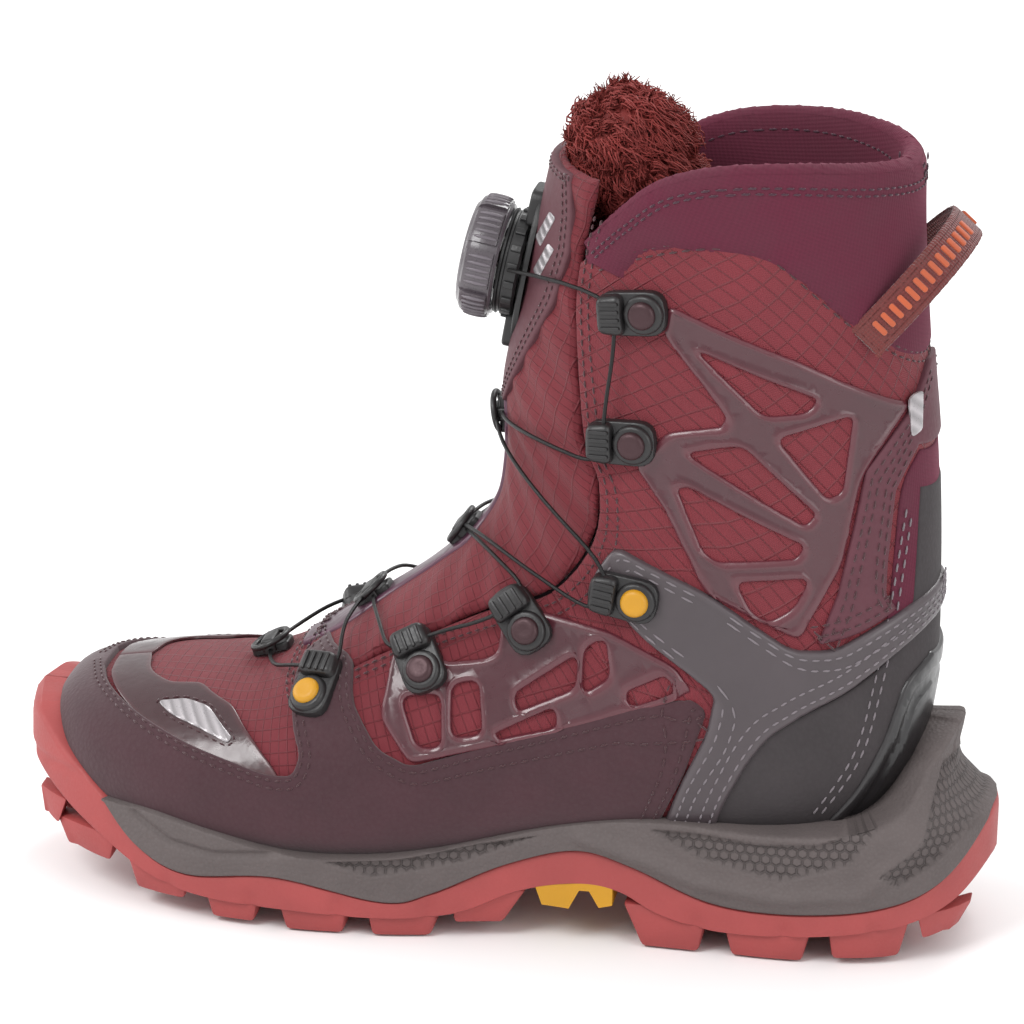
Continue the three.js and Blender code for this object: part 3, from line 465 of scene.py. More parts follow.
def stitches(name, lines, thread, body="boot", length=None, gap=None):
    """Rows of thread stitches along flat lines, each given with its height."""
    sizes = bpy.context.scene.boot_sizes
    length = length or sizes.stitch_length * 1000
    gap = gap or sizes.stitch_gap * 1000
    bm = bmesh.new()
    for line, height in lines:
        p = np.array(line, float)
        if len(p) < 2:
            continue
        run = np.concatenate([[0], np.cumsum(np.linalg.norm(np.diff(p, axis=0), axis=1))])
        place = np.arange(gap + SEAM_END, run[-1] - length - SEAM_END, length + gap)
        start = np.stack([np.interp(place, run, p[:, k]) for k in (0, 1)], axis=1)
        end = np.stack([np.interp(place + length, run, p[:, k]) for k in (0, 1)], axis=1)
        if not len(place):
            continue
        level = np.full((len(place), 1), height)
        a = LAST_SHAPE.place(np.hstack([start, level]))
        b = LAST_SHAPE.place(np.hstack([end, level]))
        up = LAST_SHAPE.place(np.hstack([(start + end) / 2, level + 1])) - (a + b) / 2
        for p0, p1, n in zip(a, b, up):
            along = Vector(p1 - p0)
            if along.length < 0.0008 or along.length > 0.006:
                continue
            out = Vector(n).normalized()
            across = out.cross(along).normalized()
            axes = (along * 0.56, across * STITCH_HALF_WIDTH * 0.001,
                    out * STITCH_HALF_HEIGHT * 0.001)
            turn = Matrix(axes).transposed().to_4x4()
            turn.translation = Vector((p0 + p1) / 2)
            bmesh.ops.create_icosphere(bm, subdivisions=1, radius=1, matrix=turn)
    return dress(as_object(bm, name, 80), thread, body)


# ---- Finishes ----
DEPTH = 0.7


def linear(code):
    """A colour of six hex digits as a linear RGBA, deepened; a linear colour stays as it is."""
    if not isinstance(code, str):
        return tuple(code)
    parts = [int(code[i:i + 2], 16) / 255 for i in (0, 2, 4)]
    curve = [c / 12.92 if c <= 0.04045 else ((c + 0.055) / 1.055) ** 2.4 for c in parts]
    return tuple(c * DEPTH for c in curve) + (1.0,)


def shade(colour, factor):
    """The colour made lighter or darker."""
    return tuple(min(1.0, c * factor) for c in colour[:3]) + (1.0,)


class Graph:
    """A small helper that places and joins the nodes of one tree."""

    def __init__(self, tree):
        self.tree = tree

    def add(self, kind, **values):
        node = self.tree.nodes.new(kind)
        for key, value in values.items():
            if hasattr(node, key):
                setattr(node, key, value)
        return node

    def feed(self, node, key, value):
        if isinstance(value, bpy.types.NodeSocket):
            self.tree.links.new(value, node.inputs[key])
        else:
            node.inputs[key].default_value = value
        return node

    def math(self, operation, a, b=0.0):
        node = self.add("ShaderNodeMath", operation=operation)
        self.feed(node, 0, a)
        self.feed(node, 1, b)
        return node.outputs[0]

    def vector(self, operation, a, b=(0, 0, 0), scale=None):
        node = self.add("ShaderNodeVectorMath", operation=operation)
        self.feed(node, 0, a)
        if scale is None:
            self.feed(node, 1, b)
        else:
            self.feed(node, "Scale", scale)
        return node.outputs[1 if operation in ("LENGTH", "DISTANCE", "DOT_PRODUCT") else 0]

    def noise(self, vector, scale, detail=3.0):
        node = self.add("ShaderNodeTexNoise")
        self.feed(node, "Vector", vector)
        self.feed(node, "Scale", scale)
        self.feed(node, "Detail", detail)
        self.feed(node, "Roughness", 0.55)
        return node.outputs["Fac"]

    def cells(self, vector, scale):
        node = self.add("ShaderNodeTexVoronoi")
        self.feed(node, "Vector", vector)
        self.feed(node, "Scale", scale)
        return node.outputs["Distance"]

    def parts(self, vector):
        node = self.add("ShaderNodeSeparateXYZ")
        self.feed(node, 0, vector)
        return node.outputs

    def span(self, value, low, high, to_low=0.0, to_high=1.0):
        node = self.add("ShaderNodeMapRange")
        self.feed(node, 0, value)
        for i, number in enumerate((low, high, to_low, to_high)):
            node.inputs[i + 1].default_value = number
        return node.outputs[0]

    def mix(self, share, a, b):
        node = self.add("ShaderNodeMix", data_type="RGBA")
        self.feed(node, 0, share)
        self.feed(node, 6, a)
        self.feed(node, 7, b)
        return node.outputs[2]

    def turned(self, vector, angle=0.0, scale=(1, 1, 1)):
        node = self.add("ShaderNodeMapping")
        self.feed(node, "Vector", vector)
        node.inputs["Rotation"].default_value = (0, 0, math.radians(angle))
        node.inputs["Scale"].default_value = scale
        return node.outputs[0]

    def bump(self, height, strength, depth, before=None):
        node = self.add("ShaderNodeBump")
        self.feed(node, "Height", height)
        self.feed(node, "Strength", strength)
        self.feed(node, "Distance", depth)
        if before is not None:
            self.feed(node, "Normal", before)
        return node.outputs[0]

    def effect(self, name, **values):
        node = self.add("ShaderNodeGroup")
        node.node_tree = EFFECTS[name]
        for key, value in values.items():
            self.feed(node, key, value)
        return node.outputs


EFFECTS = {}


def new_effect(name, inputs, outputs):
    """An empty node group with its named sockets."""
    tree = bpy.data.node_groups.new(name, "ShaderNodeTree")
    for label, kind, value in inputs:
        socket = tree.interface.new_socket(name=label, in_out="INPUT", socket_type=kind)
        if value is not None:
            socket.default_value = value
    for label in outputs:
        tree.interface.new_socket(name=label, in_out="OUTPUT", socket_type="NodeSocketFloat")
    EFFECTS[name] = tree
    g = Graph(tree)
    return g, g.add("NodeGroupInput").outputs, g.add("NodeGroupOutput")


def make_effects():
    """The shared surface effects: grain, ripstop weave, knit, hexagons and wear."""
    vector = ("Vector", "NodeSocketVector", None)
    g, i, o = new_effect("grain", [vector, ("Scale", "NodeSocketFloat", 1000.0)],
                         ["Height", "Mask"])
    fine = g.noise(i["Vector"], i["Scale"], 4)
    cell = g.cells(i["Vector"], g.math("MULTIPLY", i["Scale"], 0.8))
    g.feed(o, "Height", g.math("ADD", g.math("MULTIPLY", fine, 0.6), g.math("MULTIPLY", cell, 0.5)))
    g.feed(o, "Mask", g.noise(i["Vector"], g.math("MULTIPLY", i["Scale"], 0.05), 4))

    g, i, o = new_effect("ripstop", [vector, ("Pitch", "NodeSocketFloat", 5.0)],
                         ["Height", "Lines", "Weave"])
    part = g.parts(g.vector("SCALE", i["Vector"], scale=1000.0))
    lines = []
    for axis in (0, 1):
        share = g.math("DIVIDE", part[axis], i["Pitch"])
        away = g.math("ABSOLUTE", g.math("SUBTRACT", g.math("FRACT", share), 0.5))
        lines.append(g.span(away, 0.43, 0.49))
    grid = g.math("MAXIMUM", lines[0], lines[1])
    threads = [g.math("SINE", g.math("MULTIPLY", part[axis], 9.0)) for axis in (0, 1)]
    weave = g.math("MULTIPLY", threads[0], threads[1])
    g.feed(o, "Height", g.math("ADD", grid, g.math("MULTIPLY", weave, 0.22)))
    g.feed(o, "Lines", grid)
    g.feed(o, "Weave", weave)

    g, i, o = new_effect("knit", [vector, ("Scale", "NodeSocketFloat", 1.0)], ["Height"])
    part = g.parts(g.vector("SCALE", i["Vector"], scale=1000.0))
    rate = g.math("MULTIPLY", i["Scale"], 6.0)
    wale = g.math("SINE", g.math("MULTIPLY", part[0], rate))
    slope = g.math("ADD", g.math("MULTIPLY", part[1], rate), g.math("ABSOLUTE", wale))
    loops = g.math("MULTIPLY", g.math("SINE", slope), 0.5)
    g.feed(o, "Height", g.math("ADD", g.math("MULTIPLY", wale, 0.5), loops))

    g, i, o = new_effect("hexagons", [vector, ("Pitch", "NodeSocketFloat", 3.0)], ["Height"])
    place = g.vector("SCALE", i["Vector"], scale=g.math("DIVIDE", 1000.0, i["Pitch"]))
    tall = math.sqrt(3)
    lattice, halfway = (1.0, tall, 1000.0), (0.5, tall / 2, 0.0)
    near = []
    for shift in ((0.0, 0.0, 0.0), halfway):
        moved = g.vector("ADD", place, (500.0 + shift[0], 500.0 * tall + shift[1], 0.0))
        cell = g.vector("SUBTRACT", g.vector("MODULO", moved, lattice), halfway)
        size = g.vector("ABSOLUTE", g.vector("MULTIPLY", cell, (1, 1, 0)))
        slant = g.vector("DOT_PRODUCT", size, halfway)
        side = g.vector("DOT_PRODUCT", size, (1.0, 0.0, 0.0))
        near.append(g.math("MAXIMUM", slant, side))
    edge = g.math("MINIMUM", near[0], near[1])
    g.feed(o, "Height", g.span(edge, 0.34, 0.47, 1.0, 0.0))

    g, i, o = new_effect("wear", [vector, ("Scale", "NodeSocketFloat", 60.0)], ["Mask"])
    soft = g.noise(i["Vector"], i["Scale"], 5)
    g.feed(o, "Mask", g.span(soft, 0.42, 0.66))


FINISH = {}


def new_finish(name, colour, roughness, **constants):
    """A material with its principled shader and plain starting values, kept by its name."""
    material = bpy.data.materials.new(name)
    FINISH[name] = material
    material.use_nodes = True
    g = Graph(material.node_tree)
    shader = material.node_tree.nodes["Principled BSDF"]
    shader.inputs["Base Color"].default_value = colour
    shader.inputs["Roughness"].default_value = roughness
    for key, value in constants.items():
        shader.inputs[key.replace("_", " ")].default_value = value
    return g, shader


def places(g, flat_map=False):
    """Where the surface point lies, on the object or on the piece's own flat map."""
    if flat_map:
        node = g.add("ShaderNodeUVMap")
        node.uv_map = "flat"
        return node.outputs[0]
    return g.add("ShaderNodeTexCoord").outputs["Object"]


def grained(name, code, roughness, scale, strength, depth=0.0003, flat_map=False, vary=0.22,
            **constants):
    """A grained solid finish, with slow changes of colour, a worn look and fine bumps."""
    colour = linear(code)
    g, shader = new_finish(name, colour, roughness, **constants)
    at = places(g, flat_map)
    grain = g.effect("grain", Vector=at, Scale=scale)
    worn = g.effect("wear", Vector=at, Scale=70.0)
    deep = g.mix(g.math("MULTIPLY", grain["Mask"], 0.9), shade(colour, 1 - vary),
                 shade(colour, 1 + vary))
    light = g.mix(g.math("MULTIPLY", worn["Mask"], 0.25), deep, shade(colour, 1 + vary * 1.6))
    g.feed(shader, "Base Color", light)
    g.feed(shader, "Roughness", g.span(grain["Height"], 0.2, 0.9, roughness - 0.07,
                                       min(1, roughness + 0.07)))
    g.feed(shader, "Normal", g.bump(grain["Height"], strength, depth))


def ripstop_finish(name, code, angle, pitch, squash=1.0):
    """Woven ripstop: raised yarns on a fine plain weave, on the piece's own flat map."""
    colour = linear(code)
    g, shader = new_finish(name, colour, 0.62, Sheen_Weight=0.06, Sheen_Roughness=0.4)
    at = g.turned(places(g, True), angle, (1, squash, 1))
    cloth = g.effect("ripstop", Vector=at, Pitch=pitch)
    slow = g.noise(places(g), 60.0, 3)
    body = g.mix(slow, shade(colour, 0.82), shade(colour, 1.2))
    fine = g.mix(g.span(cloth["Weave"], -1.0, 1.0, 0.0, 0.5), body, shade(colour, 0.66))
    g.feed(shader, "Base Color", g.mix(g.math("MULTIPLY", cloth["Lines"], 0.5), fine,
                                       shade(colour, 0.6)))
    g.feed(shader, "Roughness", g.span(cloth["Height"], 0.0, 1.0, 0.7, 0.5))
    creases = g.noise(places(g), 95.0, 2)
    soft = g.bump(creases, 0.4, 0.002)
    g.feed(shader, "Normal", g.bump(cloth["Height"], 0.75, 0.0005, soft))


def film_finish(name, code, roughness, coat, rim_highlight_code=None):
    """Glossy moulded film whose rounded rim carries a painted highlight, a lighter band along its outline.
    """
    colour = linear(code)
    g, shader = new_finish(name, colour, roughness, Coat_Weight=coat, Coat_Roughness=0.15)
    at = places(g)
    grain = g.effect("grain", Vector=at, Scale=1600.0)
    rim = g.add("ShaderNodeAttribute", attribute_name="rim")
    # Painted highlight: within about 2 mm of the outline the colour is mixed towards the lighter rim colour.
    near = g.span(rim.outputs["Fac"], 0.4, 2.2, 1.0, 0.0)
    edge = linear(rim_highlight_code) if rim_highlight_code else shade(colour, 1.45)
    slow = g.mix(g.noise(at, 40.0, 3), shade(colour, 0.8), shade(colour, 1.22))
    g.feed(shader, "Base Color", g.mix(g.math("MULTIPLY", near, 0.6), slow, edge))
    g.feed(shader, "Roughness", g.span(g.noise(at, 220.0, 4), 0.3, 0.7, roughness - 0.06,
                                       roughness + 0.1))
    wave = g.bump(g.noise(at, 120.0, 2), 0.25, 0.0015)
    g.feed(shader, "Normal", g.bump(grain["Height"], 0.12, 0.0002, wave))


def neoprene_finish(name, code):
    """Soft knitted face of neoprene."""
    colour = linear(code)
    g, shader = new_finish(name, colour, 0.9, Sheen_Weight=0.5, Sheen_Roughness=0.45,
                                     Sheen_Tint=shade(colour, 2.2))
    knit = g.effect("knit", Vector=g.turned(places(g, True), 12), Scale=1.0)
    slow = g.noise(places(g), 45.0, 4)
    base = g.mix(slow, shade(colour, 0.8), shade(colour, 1.25))
    g.feed(shader, "Base Color", g.mix(g.span(knit["Height"], -1.0, 1.0, 0.35, 0.0), base,
                                       shade(colour, 0.6)))
    g.feed(shader, "Roughness", g.span(slow, 0.3, 0.7, 0.82, 0.96))
    g.feed(shader, "Normal", g.bump(knit["Height"], 0.3, 0.0002))


def midsole_finish():
    """Pebbled foam, with painted shade in the sunk fields, darkest in the grooves between the hexagons."""
    """Pebbled foam, with hexagons in the sunk fields."""
    colour = linear("665c5b")
    g, shader = new_finish("midsole_foam", colour, 0.72)
    at = places(g)
    sunk = g.add("ShaderNodeAttribute", attribute_name="sunk").outputs["Fac"]
    pebble = g.cells(at, 900.0)
    hexes = g.effect("hexagons", Vector=places(g, True), Pitch=3.1)
    grain = g.effect("grain", Vector=at, Scale=1500.0)
    slow = g.mix(grain["Mask"], shade(colour, 0.84), shade(colour, 1.16))
    # Painted shade: colour in the sunk fields is mixed towards 0.45 of the foam's colour, by up to half in
    # the hexagons' grooves and a tenth on their tops.
    groove = g.mix(g.math("MULTIPLY", sunk, g.span(hexes["Height"], 0.0, 1.0, 0.5, 0.1)), slow,
                   shade(colour, 0.45))
    g.feed(shader, "Base Color", groove)
    g.feed(shader, "Roughness", g.span(pebble, 0.0, 0.6, 0.62, 0.8))
    fine = g.bump(g.math("MULTIPLY", pebble, g.math("SUBTRACT", 1.0, sunk)), 0.5, 0.0004)
    g.feed(shader, "Normal", g.bump(g.math("MULTIPLY", hexes["Height"], sunk), 0.9, 0.0007, fine))


def webbing_finish(name, code, scale=1.0):
    """Coarse woven thread."""
    colour = linear(code)
    g, shader = new_finish(name, colour, 0.8, Sheen_Weight=0.3)
    knit = g.effect("knit", Vector=g.turned(places(g, True), 0), Scale=scale)
    slow = g.noise(places(g), 120.0, 3)
    base = g.mix(slow, shade(colour, 0.75), shade(colour, 1.25))
    g.feed(shader, "Base Color", g.mix(g.span(knit["Height"], -1.0, 1.0, 0.5, 0.0), base,
                                       shade(colour, 0.5)))
    g.feed(shader, "Roughness", g.span(slow, 0.3, 0.7, 0.72, 0.9))
    g.feed(shader, "Normal", g.bump(knit["Height"], 0.6, 0.0004))


def reflective_finish(name, code):
    """Silvery film with fine slanting ridges."""
    colour = linear(code)
    g, shader = new_finish(name, colour, 0.3, Metallic=0.35, Coat_Weight=0.6,
                                     Coat_Roughness=0.1)
    at = places(g)
    part = g.parts(at)
    slope = g.math("ADD", part[0], g.math("MULTIPLY", part[2], 0.9))
    wave = g.math("SINE", g.math("MULTIPLY", slope, 1700.0))
    grain = g.effect("grain", Vector=at, Scale=2200.0)
    g.feed(shader, "Base Color", g.mix(g.span(wave, -1.0, 1.0, 0.0, 0.7), shade(colour, 1.2),
                                       shade(colour, 0.6)))
    g.feed(shader, "Roughness", g.span(grain["Height"], 0.2, 0.8, 0.22, 0.4))
    g.feed(shader, "Normal", g.bump(wave, 0.35, 0.0006))


def fur_finish():
    """Pile whose clumps differ in depth of colour."""
    colour = linear("7c2420")
    g, shader = new_finish("fur", colour, 0.7, Sheen_Weight=0.6, Sheen_Roughness=0.5,
                                     Sheen_Tint=linear("c8625a"))
    at = places(g)
    clump = g.mix(g.noise(at, 110.0, 3), shade(colour, 0.45), shade(colour, 1.7))
    fine = g.noise(at, 900.0, 2)
    g.feed(shader, "Base Color", g.mix(g.math("MULTIPLY", fine, 0.6), clump, shade(colour, 1.3)))
    g.feed(shader, "Roughness", g.span(fine, 0.3, 0.7, 0.6, 0.85))
    g.feed(shader, "Normal", g.bump(fine, 0.3, 0.0004))


def make_finishes(colours):
    """Every finish of the boot, by the name of its slot or piece."""
    make_effects()
    ripstop_finish("ripstop_quarter", colours.cloth, 35.0, 4.1)
    ripstop_finish("ripstop_vamp", colours.cloth, 4.0, 4.4, 1.4)
    grained("rand_nubuck", colours.rand, 0.86, 900.0, 0.45, Sheen_Weight=0.25)
    grained("tongue_leather", "5f323b", 0.62, 750.0, 0.35)
    grained("strap_leather", "602c39", 0.66, 800.0, 0.3)
    # The last colour given to each film finish is the painted highlight along its rim.
    film_finish("web_film", "4c1c27", 0.3, 0.35, "75343f")
    film_finish("toe_film", "3f1d23", 0.3, 0.5, "603238")
    film_finish("saddle_film", "4a4044", 0.42, 0.15, "5f5559")
    grained("heel_knit", "3f393b", 0.88, 1100.0, 0.5, 0.0003, True)
    neoprene_finish("collar_neoprene", colours.collar)
    grained("lining_fleece", "2c0f1a", 0.98, 700.0, 0.9, 0.0008, Sheen_Weight=0.6)
    film_finish("clip_plastic", "1d1b1d", 0.34, 0.2, "3a3638")
    reflective_finish("reflective", "b9b3b6")
    fur_finish()
    grained("outsole_rubber", colours.rubber, 0.6, 1300.0, 0.25, vary=0.16)
    midsole_finish()
    grained("arch_plastic", "d99c12", 0.5, 1500.0, 0.2, vary=0.12)
    grained("board", "b08f68", 0.92, 900.0, 0.5)
    grained("shank_steel", "8f9092", 0.35, 1400.0, 0.2, Metallic=0.9)
    grained("footbed_foam", "333136", 0.95, 600.0, 0.7, 0.0006)
    grained("guide_plastic", "262425", 0.4, 1400.0, 0.2, vary=0.3)
    grained("rivet_brown", "4a3236", 0.42, 1600.0, 0.15, Metallic=0.5)
    grained("rivet_yellow", "d79a14", 0.45, 1600.0, 0.15, vary=0.1)
    grained("lace_wire", "171516", 0.38, 4000.0, 0.6, 0.0002, Metallic=0.3)
    grained("reel_plastic", "201f20", 0.42, 1400.0, 0.2, vary=0.3)
    grained("spool_plastic", "8d8d8f", 0.5, 1500.0, 0.2)
    grained("carrier_metal", "a69d99", 0.35, 1500.0, 0.2, Metallic=0.8)
    grained("knob_rubber", "585056", 0.3, 1400.0, 0.12, vary=0.2, Coat_Weight=0.3)
    grained("knob_rib", "736b72", 0.36, 1400.0, 0.15)
    webbing_finish("webbing", "7c2f2c")
    webbing_finish("bar_thread", "d4643a", 1.6)
    film_finish("spine_film", "4a2338", 0.4, 0.2, "6b3d55")
    webbing_finish("thread_maroon", "4a1d26", 2.0)
    webbing_finish("thread_plum", "45152f", 2.0)
    webbing_finish("thread_grey", "8b8187", 2.0)


# ---- The sole ----
def interp_line(points):
    """A smooth height over x through the points."""
    p = np.array(curve_through(points, 8))
    order = np.argsort(p[:, 0])
    return lambda x: np.interp(x, p[order, 0], p[order, 1])


seam_height = interp_line(SOLE_SEAM)
tread_height = interp_line(TREAD)
BUMPER_TOP = [(-148, 54), (-145, 53.5), (-139, 50), (-132, 44), (-124, 38.5), (-115, 32)]
HEX_FIELDS = [
    [(-45, 23.7), (-31, 19.7), (-4, 25.4), (17, 34), (0, 31), (-23, 25.6)],
    [(51, 38.6), (66, 38.6), (83, 37), (101, 38.4), (119, 45), (110, 32.5), (90, 26.2), (66, 31)],
    [(134, 57), (147, 57), (150, 46), (136, 33), (125, 25.5), (119, 29.5), (130, 38)],
]
TONGUE_PLATE = [(-1, 156), (2.5, 165), (8, 177), (15.5, 192), (20, 208), (20.5, 219), (19.5, 231)]
# half width, height number
TONGUE_SPINE = [
    (4.5, 5.6), (7.5, 6.4), (4.2, 7.3), (5, 8.2), (8, 8.8), (4.5, 9.6), (5, 11.4), (8, 12.1),
    (5.5, 13.0), (7, 14.3),
]
GROOVE = [(-105, 31), (-93, 24.4), (-79, 22.6), (-64, 24.4), (-45, 28)]
WAVE = [
    (30, 34), (48, 29), (66, 23), (90, 20.5), (113, 23), (126, 34), (134, 46), (140, 62), (143, 72),
]


def plan_loop(count):
    """Points and outward directions round the sole's plan, from the toe along the outer side."""
    side = np.array(curve_through(SOLE_PLAN, 12))
    loop = np.vstack([side * (1, -1), side[-2:0:-1]])
    closed = np.vstack([loop, loop[:1]])
    run = np.concatenate([[0], np.cumsum(np.linalg.norm(np.diff(closed, axis=0), axis=1))])
    place = np.linspace(0, run[-1], count + 1)
    p = np.stack([np.interp(place, run, closed[:, k]) for k in (0, 1)], axis=1)
    along = np.roll(p[:-1], -1, axis=0) - np.roll(p[:-1], 1, axis=0)
    along = np.vstack([along, along[:1]])
    along /= np.linalg.norm(along, axis=1, keepdims=True)
    return p, np.stack([along[:, 1], -along[:, 0]], axis=1), place


def skin_tree():
    """The skin as a tree for rays, in the drawing's millimetres."""
    bm = bmesh.new()
    bmesh.ops.create_grid(bm, x_segments=150, y_segments=150, size=1)
    co = np.array([v.co for v in bm.verts])
    points = skin((co[:, 1] + 1) / 2 * LAST, co[:, 0] * math.pi)
    for v, p in zip(bm.verts, points):
        v.co = p
    tree = BVHTree.FromBMesh(bm)
    bm.free()
    return tree


def line_distance(points, line, closed=False):
    p = np.array(points, float)
    q = np.array(line, float)
    ends = np.vstack([q, q[:1]]) if closed else q
    best = np.full(len(p), 1e9)
    for a, b in zip(ends[:-1], ends[1:]):
        d = b - a
        f = np.clip(((p - a) @ d) / max(d @ d, 1e-9), 0, 1)
        best = np.minimum(best, np.linalg.norm(p - a - f[:, None] * d, axis=1))
    return best


def inside(points, loop):
    p = np.array(points, float)
    q = np.array(loop, float)
    hit = np.zeros(len(p), bool)
    for a, b in zip(q, np.roll(q, -1, axis=0)):
        crosses = (a[1] > p[:, 1]) != (b[1] > p[:, 1])
        x = a[0] + (p[:, 1] - a[1]) * (b[0] - a[0]) / (b[1] - a[1] + 1e-12)
        hit ^= crosses & (p[:, 0] < x)
    return hit


def ease(value, low, high):
    f = np.clip((value - low) / (high - low), 0, 1)
    return f * f * (3 - 2 * f)


def wall_piece(columns, rows, low, high, out, sculpt, keep=None):
    """A wall round the sole: rows give the share of its height and how far in each lies."""
    tree = skin_tree()
    plan, normal, place = plan_loop(columns)
    bm = bmesh.new()
    bmesh.ops.create_grid(bm, x_segments=columns, y_segments=len(rows) - 1, size=1)
    co = np.array([v.co for v in bm.verts])
    i = np.rint((co[:, 0] + 1) / 2 * columns).astype(int)
    j = np.rint((co[:, 1] + 1) / 2 * (len(rows) - 1)).astype(int)
    share = np.array([r[0] for r in rows])[j]
    inward = np.array([r[1] for r in rows])[j]
    x, y = plan[i, 0], plan[i, 1]
    under = low(x - normal[i, 0] * np.where(share == 0, inward, 0))
    bottom, top = under, np.maximum(high(x), under + 0.05)
    z = bottom + share * (top - bottom)
    depth = np.zeros(len(z))
    for k in range(len(z)):
        start = Vector((x[k], y[k] + 0.37 * (abs(y[k]) < 2), z[k]))
        way = Vector((-normal[i[k], 0], -normal[i[k], 1], 0))
        hit = tree.ray_cast(start, way, 70)
        depth[k] = hit[3] if hit[0] is not None else 14
    near = (np.abs(y) < 8) & (np.abs(x) > 100)
    for row in range(len(rows)):
        own, gap = (j == row) & ~near, (j == row) & near
        depth[gap] = np.interp(i[gap] % columns, i[own], depth[own], period=columns)
    moved = -out - inward
    stand_off = 8 + 3 * ease(x, 105, 138)
    hug = np.maximum(0, depth - stand_off) * ease(z, 39, 60)
    reach = np.where(inward > 50, -(depth + 1.5), moved - hug)
    relief, sunk = sculpt(x + normal[i, 0] * reach, z)
    reach = reach + relief * (inward < 0.9)
    p = np.stack([x + normal[i, 0] * reach, y + normal[i, 1] * reach, z], axis=1)
    placed = in_frame(p)
    uv = bm.loops.layers.uv.new("flat")
    for f in bm.faces:
        for loop in f.loops:
            k = loop.vert.index
            loop[uv].uv = (place[i[k]] * 0.001, z[k] * 0.001)
    layer = bm.verts.layers.float.new("sunk")
    for v, q, s in zip(bm.verts, placed, sunk):
        v.co = q
        v[layer] = s
    if keep:
        gone = [v for v, px in zip(bm.verts, x) if not keep(px)]
        bmesh.ops.delete(bm, geom=gone, context="VERTS")
    bmesh.ops.remove_doubles(bm, verts=bm.verts[:], dist=0.00001)
    bmesh.ops.recalc_face_normals(bm, faces=bm.faces[:])
    middle = sum((f.calc_center_median() for f in bm.faces), Vector()) / len(bm.faces)
    facing = sum((f.calc_center_median() - middle).to_2d().dot(f.normal.to_2d()) for f in bm.faces)
    if facing < 0:
        bmesh.ops.reverse_faces(bm, faces=bm.faces[:])
    return bm


def midsole_relief(x, z):
    """The midsole's relief at side-view points, and how far each lies in a sunk field."""
    side = np.stack([x, z], axis=1)
    sunk = np.zeros(len(x))
    for field in HEX_FIELDS:
        away = line_distance(side, field, True) * np.where(inside(side, field), 1, -1)
        sunk = np.maximum(sunk, ease(away, -0.4, 0.9))
    groove = np.exp(-(line_distance(side, GROOVE) / 1.1) ** 2)
    wave = np.exp(-(line_distance(side, WAVE) / 2.6) ** 2)
    bulge = 1.1 * np.sin(np.clip((z - 14) / 30, 0, 1) * math.pi)
    return -1.7 * sunk - 1.3 * groove + 1.5 * wave + bulge * 0.6, sunk


def even_rows(count, first, last):
    """Rows for a wall, even between its first and last ones."""
    middle = [(k / count, 0.0) for k in range(1, count)]
    return first + middle + last


def make_midsole():
    rows = even_rows(34, [(0, 6.0), (0.0, 1.0), (0.012, 0.2)],
                     [(0.985, 0.3), (1.0, 1.3), (1.0, 99.0)])
    edge = interp_line(MIDSOLE_EDGE)
    bm = wall_piece(640, rows, seam_height, edge, -0.9, midsole_relief,
                    keep=lambda px: px > -116.5)
    dress(as_object(bm, "midsole_wall", 60), "midsole_foam", stands_for=("midsole",))


def make_outsole():
    top = lambda x: np.where(x < -115, np.interp(x, *np.array(BUMPER_TOP).T), seam_height(x))
    rows = even_rows(14, [(0, 9.0), (0.0, 1.6), (0.04, 0.5)],
                     [(0.96, 0.35), (1.0, 1.2), (1.0, 99.0)])

    def facets(x, z):
        notch = np.exp(-((np.mod(x + 160, 26.5) - 13) / 2.2) ** 2) * ease(-z, -16, -9)
        toe = ease(-x, 118, 132) * np.exp(-((np.mod(z, 15) - 7.5) / 1.2) ** 2) * 0.9
        return -1.1 * notch - toe, np.zeros(len(x))

    bm = wall_piece(520, rows, tread_height, top, -0.35, facets)
    dress(as_object(bm, "outsole_wall", 50), "outsole_rubber", stands_for=("outsole",))
    plan, normal, _ = plan_loop(150)
    loop = [tuple(p - n * 7.5) for p, n in zip(plan[:-1], normal[:-1])]
    bm = cut_panel(loop, rim=[], foot=0, grid=6.0)
    for v in bm.verts:
        v.co = in_frame([(v.co.x, v.co.y, tread_height(v.co.x) + 0.2)])[0]
    bmesh.ops.reverse_faces(bm, faces=bm.faces[:])
    dress(as_object(bm, "outsole_tread"), "outsole_rubber")
    bm = bmesh.new()
    for lug in LUGS:
        for side in (-1, 1):
            for row in (0, 1):
                add_lug(bm, lug, side, row)
    dress(as_object(bm, "outsole_lugs", 35), "outsole_rubber")


